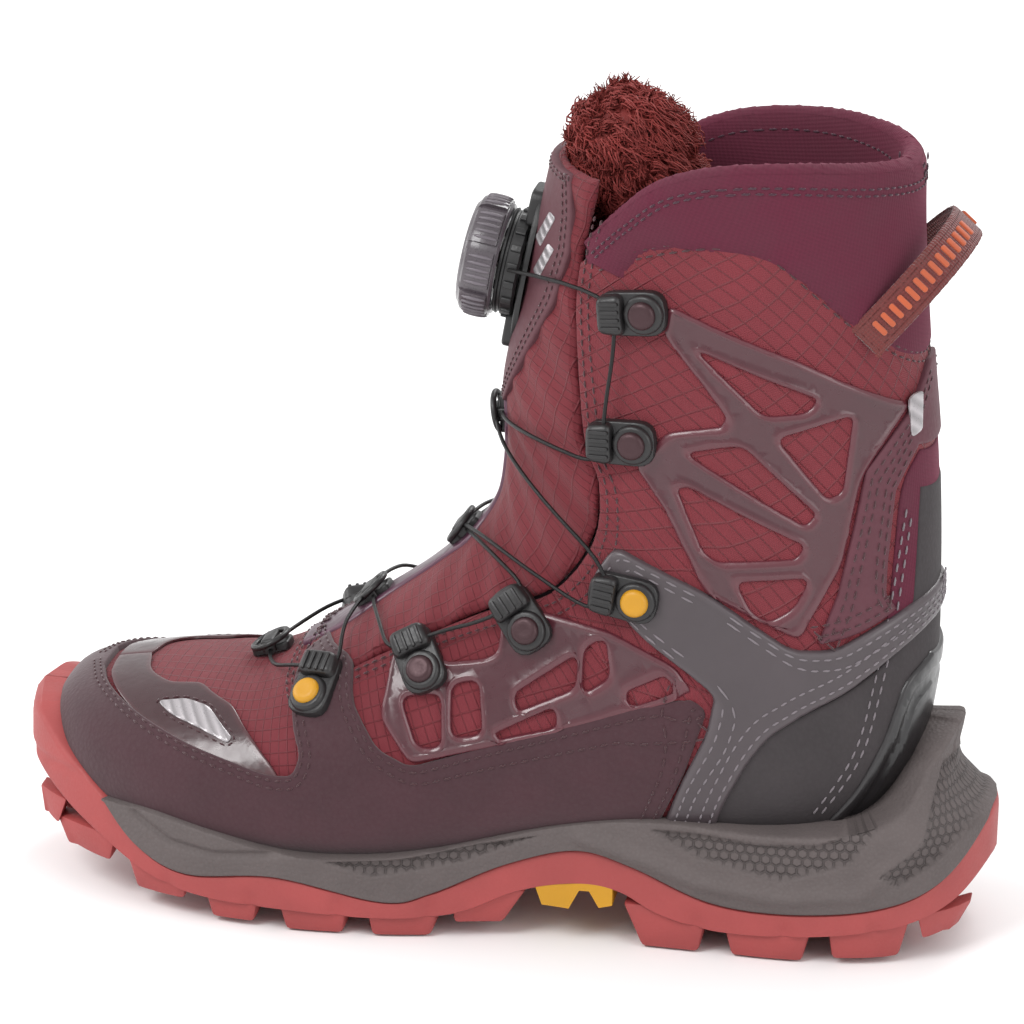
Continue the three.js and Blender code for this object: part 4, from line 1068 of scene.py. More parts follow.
def add_lug(bm, lug, side, row):
    """One tread block: its base outline extruded down, drawn in and bevelled."""
    base_from, base_to, foot_from, foot_to, bottom, top = lug
    block = bmesh.new()
    xs = np.linspace(base_from, base_to, 6)
    wide = np.interp(xs, *np.array(curve_through(SOLE_PLAN, 8)).T)
    if row == 0:
        inner = np.minimum(27.0, wide - 8)
        outer = wide - 0.5
        if wide.min() < 12:
            inner = np.full(len(xs), 2.5)
            outer = np.maximum(wide - 0.5, 4.0)
    else:
        if wide.max() < 36 or wide.min() < 25:
            block.free()
            return
        inner, outer = np.full(len(xs), 2.5), np.full(len(xs), 22.0)
    loop = [(x, y) for x, y in zip(xs, outer)] + [(xs[-1], inner[-1]), (xs[0], inner[0])]
    ring = [block.verts.new((x, side * y, top)) for x, y in loop]
    face = block.faces.new(ring)
    grown = bmesh.ops.extrude_face_region(block, geom=[face])
    foot = [v for v in grown["geom"] if isinstance(v, bmesh.types.BMVert)]
    mid_y = side * float(outer.mean() + inner.mean()) / 2
    for v in foot:
        f = (v.co.x - base_from) / (base_to - base_from)
        v.co.x = foot_from + f * (foot_to - foot_from)
        v.co.y = v.co.y - math.copysign(1.3, v.co.y - mid_y)
        v.co.z = bottom
    bmesh.ops.recalc_face_normals(block, faces=block.faces[:])
    edges = [e for e in block.edges if len(e.link_faces) == 2 and e.calc_face_angle(0) > 0.5]
    bmesh.ops.bevel(block, geom=edges, offset=1.3, offset_type="OFFSET", segments=2, profile=0.5,
                    affect="EDGES", material=-1, clamp_overlap=True)
    for v, p in zip(block.verts, in_frame([v.co for v in block.verts])):
        v.co = p
    join_local(bm, block)


# ---- The upper ----
def throat_line(side=1):
    """The throat's edge on one side, flat."""
    return flat(stepped(curve_through(THROAT, 4), 3, False), side)


def make_upper():
    """The woven base of the vamp and of the ankle, each one cut and bent to the last."""
    half = math.pi * GIRTH
    front = throat_line()
    split = [k for k, p in enumerate(front) if p[1] > uv_at(10.6, 0)[1]][0]
    vamp_edge = front[:split + 1]
    low = uv_at(0.02, 0)[1]
    top = vamp_edge[-1][1]
    outline = [(-half * 0.93, low), (half * 0.93, low), (half * 0.93, top)]
    outline += round_toe(list(reversed(vamp_edge))) + [(-half * 0.93, top)]
    bm = cut_panel(stepped(outline, 4), rim=[(0.3, 0.8)], wall=0.1, foot=-2.0, grid=3.2)
    dress(bent(bm, "vamp_cloth"), "ripstop_vamp", stands_for=("upper_shell",))
    edge = flat(stepped(curve_through(QUARTER_TOP, 4), 3, False))
    rise = [p for p in front[max(split - 2, 0):] if p[1] < edge[0][1] - 1]
    heel = round_heel(rise + edge)
    bm = cut_panel(stepped(heel, 4), rim=SOFT_RIM, wall=0.35, foot=-2.4, grid=3.2)
    dress(bent(bm, "quarter_cloth"), "ripstop_quarter")
    rows = []
    for side in (1, -1):
        along = flat(stepped(curve_through(QUARTER_TOP, 6), 1.5, False), side)
        rows += [(offset_line(along, -d * side, False), 0.45) for d in (2.2, 4.4)]
        up = throat_line(side)
        rows += [(offset_line(up, -d * side, False), 0.45) for d in (2.2, 4.6)]
    stitches("stitches_quarter", rows, "thread_maroon")


def make_rand():
    """The nubuck rand in one piece round the toe, with its film, reflectors and seams."""
    outer = flat(stepped(rounded(RAND_EDGE, 3, False), 2.5, False))
    bottom = (2.62 * GIRTH)
    low = 1.5
    outline = round_toe(outer + [(bottom, outer[-1][1]), (bottom, low)])
    toe_rand = cut_panel(stepped(outline, 3), wall=1.5)
    dress(bent(toe_rand, "rand", outlines=[outline]), "rand_nubuck", stands_for=("toe_rand",))
    rows = []
    for side in (1, -1):
        edge = [(u * side, v) for u, v in outer]
        rows += [(offset_line(edge, -d * side, False), 1.62) for d in (1.6, 4.2)]
    stitches("stitches_rand", rows, "thread_maroon")
    for name, side in SIDES:
        line = flat(stepped(rounded(FILM_BAND, 2), 2), side)
        bm = cut_panel(line, wall=0.8, foot=0.0, rim=SOFT_RIM)
        dress(bent(bm, "toe_film_" + name, outlines=[line]), "toe_film",
              stands_for=("toe_film_" + name,))
        line = flat(stepped(rounded(REFLECTOR, 2), 1.5), side)
        bm = cut_panel(line, wall=1.4, foot=0.6, rim=SOFT_RIM, grid=2.0)
        dress(bent(bm, "toe_reflector_" + name, outlines=[line]), "reflective",
              stands_for=("toe_reflector_" + name,))
        ring = offset_line(line, -1.3)
        stitches("stitches_reflector_" + name, [(ring + ring[:1], 0.9)], "thread_maroon")


def make_webs():
    """The glossy moulded webs, whose arms carry raised lips round their windows."""
    lip = [(0.3, 0.22), (0.35, 0.0), (0.45, -0.34)]
    for name, outline, windows in (("ankle_web", ANKLE_WEB, ANKLE_WINDOWS),
                                   ("forefoot_web", FOREFOOT_WEB, FOREFOOT_WINDOWS)):
        for side_name, side in SIDES:
            loops = [flat(stepped(rounded(outline, 3), 2), side)]
            loops += [flat(stepped(rounded(w, 3.2), 1.6), side) for w in windows]
            bm = cut_panel(loops[0], loops[1:], rim=MOULDED_RIM, wall=1.3, lip=lip, grid=2.6)
            node = name + "_" + side_name
            dress(bent(bm, node + "_film", outlines=loops), "web_film", stands_for=(node,))


def make_heel():
    """The saddle, heel panel, strap, rear knit insert and moulded heel clip."""
    rows = []
    for name, side in SIDES:
        line = flat(stepped(rounded(SADDLE, 4), 2.2), side)
        bm = cut_panel(line, wall=2.6, rim=[(0.05, 0.6), (0.4, 0.3), (0.6, 0.1)])
        dress(bent(bm, "saddle_" + name + "_film", outlines=[line]), "saddle_film",
              stands_for=("saddle_" + name,))
        for d in (1.7, 3.9):
            ring = offset_line(line, d)
            rows.append((ring + ring[:1], 2.62))
    heel = round_heel(flat(stepped(curve_through(HEEL_SIDE, 4), 2.5, False)))
    bm = cut_panel(stepped(heel, 3), wall=1.3)
    dress(bent(bm, "heel_back", outlines=[heel]), "heel_knit", stands_for=("heel_panel",))
    seam = [(97, 42), (109, 62), (114, 84), (117, 105), (120, 138)]
    for side in (1, -1):
        along = flat(stepped(curve_through(seam, 5), 2, False), side)
        rows += [(offset_line(along, d, False), 1.4) for d in (-1.2, 1.2)]
    stitches("stitches_heel", rows, "thread_grey")
    top, rim = flat(stepped(STRAP_SIDE[:6], 2.5, False)), flat(stepped(STRAP_SIDE[6:], 2.5, False))
    outer = top + rim
    strap = rounded(outer, 2, False)
    bm = cut_panel(stepped(round_heel(strap), 3), wall=2.0)
    dress(bent(bm, "heel_strap_leather", outlines=[round_heel(strap)]), "strap_leather",
          stands_for=("heel_strap",))
    seams = []
    for side in (1, -1):
        along = [(u * side, v) for u, v in outer]
        seams += [(offset_line(along, d * side, False), 2.1) for d in (1.7, 3.7)]
    stitches("stitches_strap", seams, "thread_maroon")
    knit = [(116, 104), (116.5, 112), (117, 124), (118, 143), (122, 153)]
    rear = round_heel(flat(stepped(curve_through(knit, 4), 2.5, False)))
    bm = cut_panel(stepped(rear, 3), wall=0.9)
    dress(bent(bm, "rear_knit", outlines=[rear]), "collar_neoprene")
    clip = round_heel(flat(stepped(rounded(CLIP_SIDE, 4, False), 2.5, False)))
    bm = cut_panel(stepped(clip, 3), wall=2.6, rim=MOULDED_RIM,
                   lip=[(2.6, 0.0), (0.7, -0.6), (2.4, 0.0), (0.7, 0.5)])
    dress(bent(bm, "heel_clip_shell", outlines=[clip]), "clip_plastic", stands_for=("heel_clip",))
    for name, side in SIDES:
        bar = flat(stepped(rounded([(117.5, 170), (120.6, 171), (121.2, 159), (118.6, 158)], 1.4),
                           1.2), side)
        bm = cut_panel(bar, wall=2.5, foot=1.6, grid=1.5)
        dress(bent(bm, "strap_reflector_" + name, outlines=[bar]), "reflective")


# ---- Padded collar and tongue ----
def padded_shell(outline, wall, crown, edge, grid=3.0):
    """A closed flat pad: both faces, thickest in the middle and drawn in at its rim."""
    bm = filled([outline])
    inner = bm.faces[:]
    for width in (0.7, 0.9, 1.2):
        bmesh.ops.inset_region(bm, faces=inner, thickness=width, use_boundary=True,
                               use_even_offset=False)
        inner = [f for f in bm.faces if all(not v.is_boundary for v in f.verts)]
    grid_up(bm, grid)
    co = np.array([v.co for v in bm.verts])
    away = rim_distance(co[:, :2], [clean(outline)])
    rise = np.sqrt(1 - (1 - np.clip(away / edge, 0, 1)) ** 2)
    grown = bmesh.ops.extrude_face_region(bm, geom=bm.faces[:])
    tops = [g for g in grown["geom"] if isinstance(g, bmesh.types.BMVert)]
    upper = set(tops)
    heights = {(round(c[0], 4), round(c[1], 4)): r for c, r in zip(co, rise)}
    for v in bm.verts:
        r = heights[(round(v.co.x, 4), round(v.co.y, 4))]
        middle = -wall / 2
        v.co.z = middle + (wall / 2 + crown) * r if v in upper else middle - wall / 2 * r
    bmesh.ops.recalc_face_normals(bm, faces=bm.faces[:])
    return bm


def make_collar():
    """The padded neoprene collar, with rows of stitches along its rim."""
    rim = flat(stepped(curve_through(COLLAR_RIM, 5), 2.5, False))
    strip = [p for p in throat_line() if p[1] > uv_at(12.2, 0)[1] and p[1] < rim[0][1]]
    lower = flat(stepped(curve_through(COLLAR_LOW, 4), 2.5, False))
    side = list(reversed(lower)) + strip + rim
    outline = round_heel(side)
    bm = padded_shell(stepped(outline, 3), 7.0, 1.0, 5.0)
    for v in bm.verts:
        high = ease(np.array([v.co.y]), uv_at(15.2, 0)[1], uv_at(16.8, 0)[1])[0]
        if v.co.z > -3.5 and high < 0.5:
            v.co.z = v.co.z - (1 - high) * 1.4
    piece = bent(bm, "collar_pad", outlines=[outline])
    dress(piece, "collar_neoprene", stands_for=("collar",))
    rows = []
    for s in (1, -1):
        edge = [(u * s, v) for u, v in rim]
        rows += [(offset_line(edge, -d * s, False), 1.15) for d in (5.6, 7.2)]
        rows += [(offset_line(edge, -6.4 * s, False), -7.1)]
    stitches("stitches_collar", rows, "thread_plum", length=2.0, gap=0.9)


def make_tongue():
    """The pleated cloth tongue with its leather top and moulded spine."""
    line = throat_line()
    low, high = uv_at(5.1, 0)[1], uv_at(17.2, 0)[1]
    side = [(max(u - 0.8, 1.0), v) for u, v in line if low < v < high]
    side = [(0.0, low - 2)] + side + [(side[-1][0], high)]
    outline = [p for p in side if p[0] > 0.5] + [(-u, v) for u, v in reversed(side) if u > 0.5]
    bm = padded_shell(stepped(outline, 3), 4.0, 0.4, 4.0, 2.4)
    for v in bm.verts:
        if v.co.z > -2:
            fold = math.sin(v.co.y * 0.33 + abs(v.co.x) * 0.22)
            v.co.z += 0.55 * fold * min(1, max(0, (abs(v.co.x) - 9) / 6))
    piece = bent(bm, "tongue_cloth", outlines=[outline])
    dress(piece, "ripstop_vamp", "tongue", ("tongue",))
    edge = flat(stepped(TONGUE_PLATE, 3, False))
    plate = rounded(round_toe(edge), 1.5)
    bm = cut_panel(stepped(plate, 2.5), wall=1.7, foot=-1.0, grid=2.6)
    dress(bent(bm, "tongue_plate", outlines=[plate]), "tongue_leather", "tongue")
    ring = offset_line(stepped(plate, 2), 2.0)
    stitches("stitches_tongue", [(ring, 1.8), (offset_line(ring, 2.0), 1.8)],
             "thread_maroon", "tongue")
    for name, s in SIDES:
        for k, drop in enumerate((0, 9)):
            slant = [(8.4, 208 - drop), (10.6, 206.5 - drop), (15.6, 217 - drop),
                     (13.4, 218 - drop)]
            bar = flat(stepped(rounded(slant, 0.8), 1.2), s)
            bm = cut_panel(bar, wall=2.0, foot=1.4, grid=1.5)
            dress(bent(bm, f"tongue_reflector_{name}_{k}", outlines=[bar]), "reflective", "tongue")
    spine = [(half, uv_at(t, 0)[1]) for half, t in TONGUE_SPINE]
    loop = curve_through(spine, 4)
    loop = loop + [(-u, v) for u, v in reversed(loop)]
    bm = cut_panel(stepped(loop, 2.5), wall=1.3, foot=-0.8, rim=MOULDED_RIM, grid=2.4)
    dress(bent(bm, "tongue_spine", outlines=[loop]), "spine_film", "tongue")


PILE_FROM = 0.207


def make_fur(sizes):
    """Curly pile: thousands of fine tapered strands grown from a soft core in seeded clumps."""
    chance = random.Random(11)
    core = bmesh.new()
    bmesh.ops.create_icosphere(core, subdivisions=4, radius=1)
    for v in core.verts:
        lump = 1 + 0.07 * math.sin(v.co.x * 7 + 1) * math.sin(v.co.y * 6)
        lump += 0.06 * math.sin(v.co.z * 8 + v.co.x * 4)
        x = 33.5 - 4.5 * max(0, v.co.z) + 2.5 * max(0, -v.co.z) + v.co.x * 17.5 * lump
        z = 230 + v.co.z * 19.5 * lump + 1.5 * v.co.x
        v.co = in_frame([(x, v.co.y * 17.5 * lump, z)])[0]
    core.normal_update()
    normals = [v.normal.copy() for v in core.verts]
    places = [v.co.copy() for v in core.verts]
    dress(as_object(core, "fur_core"), "fur", "tongue")
    count = 8000
    curve = bpy.data.curves.new("fur_strands", "CURVE")
    curve.dimensions = "3D"
    curve.bevel_depth = sizes.strand_radius
    curve.bevel_resolution = 0
    curve.resolution_u = 1
    clump = {}
    for _ in range(count):
        k = chance.randrange(len(places))
        root, out = places[k], normals[k]
        if root.z < PILE_FROM:
            continue
        key = (round(root.x * 220), round(root.y * 220), round(root.z * 220))
        if key not in clump:
            clump[key] = Vector([chance.uniform(-1, 1) for _ in range(3)]) * 1.1
        lean = (out + clump[key] + Vector([chance.uniform(-0.35,
                                                          0.35) for _ in range(3)])).normalized()
        side = lean.cross(Vector((chance.random(), chance.random(), chance.random()))).normalized()
        long = chance.uniform(0.0022, sizes.strand_length)
        start = root + Vector([chance.uniform(-0.0012, 0.0012) for _ in range(3)])
        spline = curve.splines.new("POLY")
        spline.points.add(3)
        for j in range(4):
            f = j / 3
            curl = side * math.sin(f * 3.6) * long * 0.75
            p = start + lean * long * f + curl - out * 0.0006 * (1 - f)
            spline.points[j].co = (*p, 1)
            spline.points[j].radius = 1.0 - 0.75 * f
    pile = mesh_of(curve, "fur_pile")
    dress(pile, "fur", "tongue", ("tongue_fur",))


# ---- Hardware frames ----
def frame_matrix(origin, nose, across, normal):
    """A local frame in drawing millimetres: nose along x, across along y, up along z."""
    turn = Matrix((nose, across, normal)).transposed().to_4x4()
    turn.translation = Vector(origin)
    return turn


def guide_matrix(guide, side):
    x, z, nose, base = guide
    u, v = on_last(x, z, 1)
    t = np.array([np.interp(v, HEIGHT_V, HEIGHT_T)])
    a = np.array([u / GIRTH])
    normal = Vector(skin_normal(t, a)[0])
    origin = Vector(skin(t, a)[0]) + normal * (base + 2 * GAP)
    ahead = Vector((math.cos(math.radians(nose)), 0, math.sin(math.radians(nose))))
    ahead = (ahead - normal * ahead.dot(normal)).normalized()
    across = normal.cross(ahead)
    if side < 0:
        flip = Vector((1, -1, 1))
        origin, ahead, normal = origin * flip, ahead * flip, normal * flip
        across = normal.cross(ahead)
    return frame_matrix(origin, ahead, across, normal)


def centre_matrix(t):
    """The frame on the instep line: nose up it, across towards the inner side."""
    p = skin(np.array([t - 0.1, t, t + 0.1]), np.zeros(3))
    up = Vector(p[2] - p[0]).normalized()
    across = Vector((0, 1, 0))
    return frame_matrix(p[1], up, across, up.cross(across))


def dial_matrix():
    p = skin(np.array([15.0, 16.0]), np.zeros(2))
    share = (REEL_HEIGHT - p[0][2]) / (p[1][2] - p[0][2])
    up = Vector(p[1] - p[0]).normalized()
    across = Vector((0, 1, 0))
    return frame_matrix(p[0] + share * (p[1] - p[0]), up, across, up.cross(across))


def settle(bm, turn):
    """Moves a local mesh in millimetres to its place in the frame."""
    for v in bm.verts:
        v.co = turn @ v.co
    for v, p in zip(bm.verts, in_frame([v.co for v in bm.verts])):
        v.co = p
    return bm


def plate(bm, loop, low, high, bevel, segments=3, taper=0.0):
    """A flat outline extruded between two heights, with its upper rim bevelled."""
    ring = [bm.verts.new((x, y, low)) for x, y in loop]
    face = bm.faces.new(ring)
    grown = bmesh.ops.extrude_face_region(bm, geom=[face])
    top = [g for g in grown["geom"] if isinstance(g, bmesh.types.BMVert)]
    bmesh.ops.translate(bm, vec=(0, 0, high - low), verts=top)
    if taper:
        middle = sum((v.co for v in top), Vector()) / len(top)
        for v in top:
            v.co.x += (middle.x - v.co.x) * taper
            v.co.y += (middle.y - v.co.y) * taper
    faces = {f for v in ring + top for f in v.link_faces}
    bmesh.ops.recalc_face_normals(bm, faces=list(faces))
    rim = [e for e in bm.edges if e.verts[0] in top and e.verts[1] in top]
    bmesh.ops.bevel(bm, geom=rim, offset=bevel, offset_type="OFFSET", segments=segments,
                    profile=0.5,
                    affect="EDGES", material=-1, clamp_overlap=True)


def turned(bm, profile, segments=40, centre=(0, 0)):
    """A profile of radius and height spun round the local z axis."""
    verts = [bm.verts.new((centre[0] + r, centre[1], h)) for r, h in profile]
    edges = [bm.edges.new(pair) for pair in zip(verts[:-1], verts[1:])]
    bmesh.ops.spin(bm, geom=verts + edges, cent=(centre[0], centre[1], 0), axis=(0, 0, 1),
                   dvec=(0, 0, 0),
                   angle=2 * math.pi, steps=segments, use_merge=True, use_normal_flip=False)
    bmesh.ops.remove_doubles(bm, verts=bm.verts[:], dist=0.001)
    bmesh.ops.recalc_face_normals(bm, faces=bm.faces[:])


def ellipse(rx, ry, count, cx=0.0):
    """An ellipse's corners, its centre on the local x axis."""
    turns = [k / count * 2 * math.pi for k in range(count)]
    return [(cx + rx * math.cos(a), ry * math.sin(a)) for a in turns]


def make_guides():
    """Moulded cable guides: a flanged foot, a ring round the rivet and a ribbed bridge."""
    for n, guide in enumerate(GUIDES):
        for name, side in SIDES:
            turn = guide_matrix(guide, side)
            bm = bmesh.new()
            w = GUIDE_WIDTH / 2
            rear, front = -GUIDE_LENGTH * 0.36, GUIDE_LENGTH * 0.64
            foot = rounded([(rear, -w), (front, -w + 0.4), (front, w - 0.4), (rear, w)], 5.6)
            plate(bm, foot, -1.6, 1.7, 0.7)
            plate(bm, ellipse(6.2, 6.0, 32, -1.2), 1.2, 3.4, 0.9, taper=0.06)
            bridge = rounded([(4.6, -w + 0.2), (front - 0.6, -w + 1.0), (front - 0.6, w - 1.0),
                              (4.6, w - 0.2)], 2.6)
            plate(bm, bridge, 0.8, GUIDE_HEIGHT - 0.5, 1.5, 4, taper=0.1)
            for y in (-3.6, -1.2, 1.2, 3.6):
                rib = rounded([(5.4, y - 0.55), (front - 2.0, y - 0.55), (front - 2.0, y + 0.55),
                               (5.4, y + 0.55)], 0.5)
                plate(bm, rib, GUIDE_HEIGHT - 1.2, GUIDE_HEIGHT + 0.1, 0.3, 2)
            node = f"lace_guide_{n + 1}_{name}"
            piece = as_object(settle(bm, turn), node + "_moulding", 40)
            dress(piece, "guide_plastic", stands_for=(node,))
            bm = bmesh.new()
            seat = 3.4
            turned(bm, [(0, seat + 1.6), (1.5, seat + 1.62), (2.6, seat + 1.75), (3.5, seat + 1.5),
                        (4.05, seat + 0.9),
                        (4.2, seat + 0.1), (4.2, seat - 1.2)], 28, (-1.2, 0))
            slot = "rivet_yellow" if n in (2, 5) else "rivet_brown"
            node = f"guide_rivet_{n + 1}_{name}"
            dress(as_object(settle(bm, turn), node + "_cap", 40), slot, stands_for=(node,))


def mesh_of(curve, name):
    """The curve's round bar as a mesh object."""
    holder = bpy.data.objects.new(name + "_line", curve)
    bpy.context.scene.collection.objects.link(holder)
    bpy.context.view_layer.update()
    drawn = holder.evaluated_get(bpy.context.evaluated_depsgraph_get())
    mesh = bpy.data.meshes.new_from_object(drawn)
    bpy.data.objects.remove(holder)
    mesh.name = name
    mesh.materials.clear()
    piece = bpy.data.objects.new(name, mesh)
    bpy.context.scene.collection.objects.link(piece)
    return piece


def tube(name, points, radius, closed=False):
    """A smooth round bar along points of the frame, in metres."""
    curve = bpy.data.curves.new(name, "CURVE")
    curve.dimensions = "3D"
    curve.bevel_depth = radius
    curve.bevel_resolution = 3
    curve.use_fill_caps = not closed
    curve.resolution_u = 6
    spline = curve.splines.new("BEZIER" if closed else "NURBS")
    if closed:
        spline.bezier_points.add(len(points) - 1)
        for point, p in zip(spline.bezier_points, points):
            point.co = p
            point.handle_left_type = point.handle_right_type = "AUTO"
    else:
        spline.points.add(len(points) - 1)
        for point, p in zip(spline.points, points):
            point.co = (*p, 1)
        spline.order_u = 3
        spline.use_endpoint_u = True
    spline.use_cyclic_u = closed
    piece = mesh_of(curve, name)
    for polygon in piece.data.polygons:
        polygon.use_smooth = True
    return piece


def make_keepers():
    """The wire rings on the tongue, the toe hook's ring and the tabs that hold them."""
    for place, t, body in (("upper", KEEPERS[0], "tongue"), ("middle", KEEPERS[1], "tongue"),
                           ("lower", KEEPERS[2], "tongue"), ("hook", HOOK_SECTION - 0.12, "boot")):
        turn = centre_matrix(t)
        node = "toe_hook" if place == "hook" else "tongue_keeper_" + place
        ring = []
        for k in range(14):
            a = k / 14 * 2 * math.pi
            ring.append(turn @ Vector((5.6 * math.cos(a), 6.6 * math.sin(a),
                                       3.9 + 0.9 * math.cos(a))))
        bar = tube(node + "_ring", [Vector(p) for p in in_frame(ring)], 0.00095, True)
        dress(bar, "guide_plastic", body, (node,))
        bm = bmesh.new()
        tab = rounded([(-6.2, -3.6), (6.2, -4.4), (6.2, 4.4), (-6.2, 3.6)], 2)
        plate(bm, tab, 0.6, 3.0, 0.7)
        tunnel = rounded([(-2.2, -5.2), (2.2, -5.2), (2.2, 5.2), (-2.2, 5.2)], 1.2)
        plate(bm, tunnel, 1.2, 5.2, 1.1, 4)
        dress(as_object(settle(bm, turn), node + "_tab", 40), "guide_plastic", body)


def lace_points():
    """The lace's way from the reel over the guides and rings, in drawing millimetres."""
    def passes(guide, side):
        turn = guide_matrix(guide, 1)
        nose, across, normal = (Vector(turn.col[k][:3]) for k in range(3))
        middle = turn.translation + nose * GUIDE_LENGTH * 0.36 + normal * GUIDE_HEIGHT * 0.5
        ends = [middle + across * d for d in (-GUIDE_WIDTH / 2 - 0.6, GUIDE_WIDTH / 2 + 0.6)]
        ends.sort(key=lambda p: -(p.x + p.z))
        return [Vector((p.x, p.y * side, p.z)) for p in ends]

    def off(t, a, lift):
        tt, aa = np.array([t]), np.array([a])
        return Vector((skin(tt, aa) + skin_normal(tt, aa) * lift)[0])

    def crossing(start, end, t, height):
        def half(point, order):
            u, v = on_last(point.x, point.z, 1)
            from_t, from_a = float(np.interp(v, HEIGHT_V, HEIGHT_T)), u / GIRTH
            side = 1 if point.y < 0 else -1
            out = []
            for share in order:
                lift = height + 2.2 * (1 - share)
                out.append(off(from_t + (t - from_t) * share, side * from_a * (1 - share), lift))
            return out
        return half(start, (0.3, 0.6, 0.85)) + [off(t, 0, height)] + half(end, (0.85, 0.6, 0.3))

    near = [passes(g, 1) for g in GUIDES]
    far = [passes(g, -1) for g in GUIDES]
    dial = dial_matrix()
    port = REEL_BASE_TOP + GAP + HOUSING_DEPTH * 0.5
    low, high = 1.9, 3.6
    hook = [off(HOOK_SECTION, -0.3, 2), off(HOOK_SECTION - 0.15, 0, 2), off(HOOK_SECTION, 0.3, 2)]
    return ([dial @ Vector((2, -HOUSING_RADIUS - 1, port))] + near[0] + near[1]
            + crossing(near[1][1], far[2][0], KEEPERS[0], low) + far[2]
            + crossing(far[2][1], near[3][0], KEEPERS[1], low) + near[3] + near[4]
            + crossing(near[4][1], far[5][0], KEEPERS[2], low) + far[5] + hook
            + [near[5][1], near[5][0]]
            + crossing(near[5][0], far[4][1], KEEPERS[2], high) + [far[4][1], far[4][0], far[3][1],
                                                                   far[3][0]]
            + crossing(far[3][0], near[2][1], KEEPERS[1], high) + [near[2][1], near[2][0]]
            + crossing(near[2][0], far[1][1], KEEPERS[0], high)
            + [far[1][1], far[1][0], far[0][1], far[0][0]]
            + [dial @ Vector((2, HOUSING_RADIUS + 1, port))])


def make_lace(sizes):
    """The thin wire lace, in one half for each side."""
    points = [Vector(p) for p in in_frame(lace_points())]
    middle = ORIGIN[1] * 0.001
    runs, run, side = [], [points[0]], points[0].y > middle
    for a, b in zip(points[:-1], points[1:]):
        if (b.y > middle) != side:
            f = (middle - a.y) / (b.y - a.y)
            cross = a.lerp(b, f)
            run.append(cross)
            runs.append((side, run))
            run, side = [cross], b.y > middle
        run.append(b)
    runs.append((side, run))
    for name, is_inner in (("outer", False), ("inner", True)):
        parts = [r for s, r in runs if s == is_inner and len(r) > 1]
        pieces = [tube(f"lace_{name}_{k}", r, sizes.lace_radius) for k, r in enumerate(parts)]
        bm = bmesh.new()
        for p in pieces:
            bm.from_mesh(p.data)
            bpy.data.objects.remove(p)
        whole = as_object(bm, "lace_" + name, 80)
        whole.data.materials.append(FINISH["lace_wire"])
        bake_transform(whole)
        if name == "outer":
            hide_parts("lace_wire")


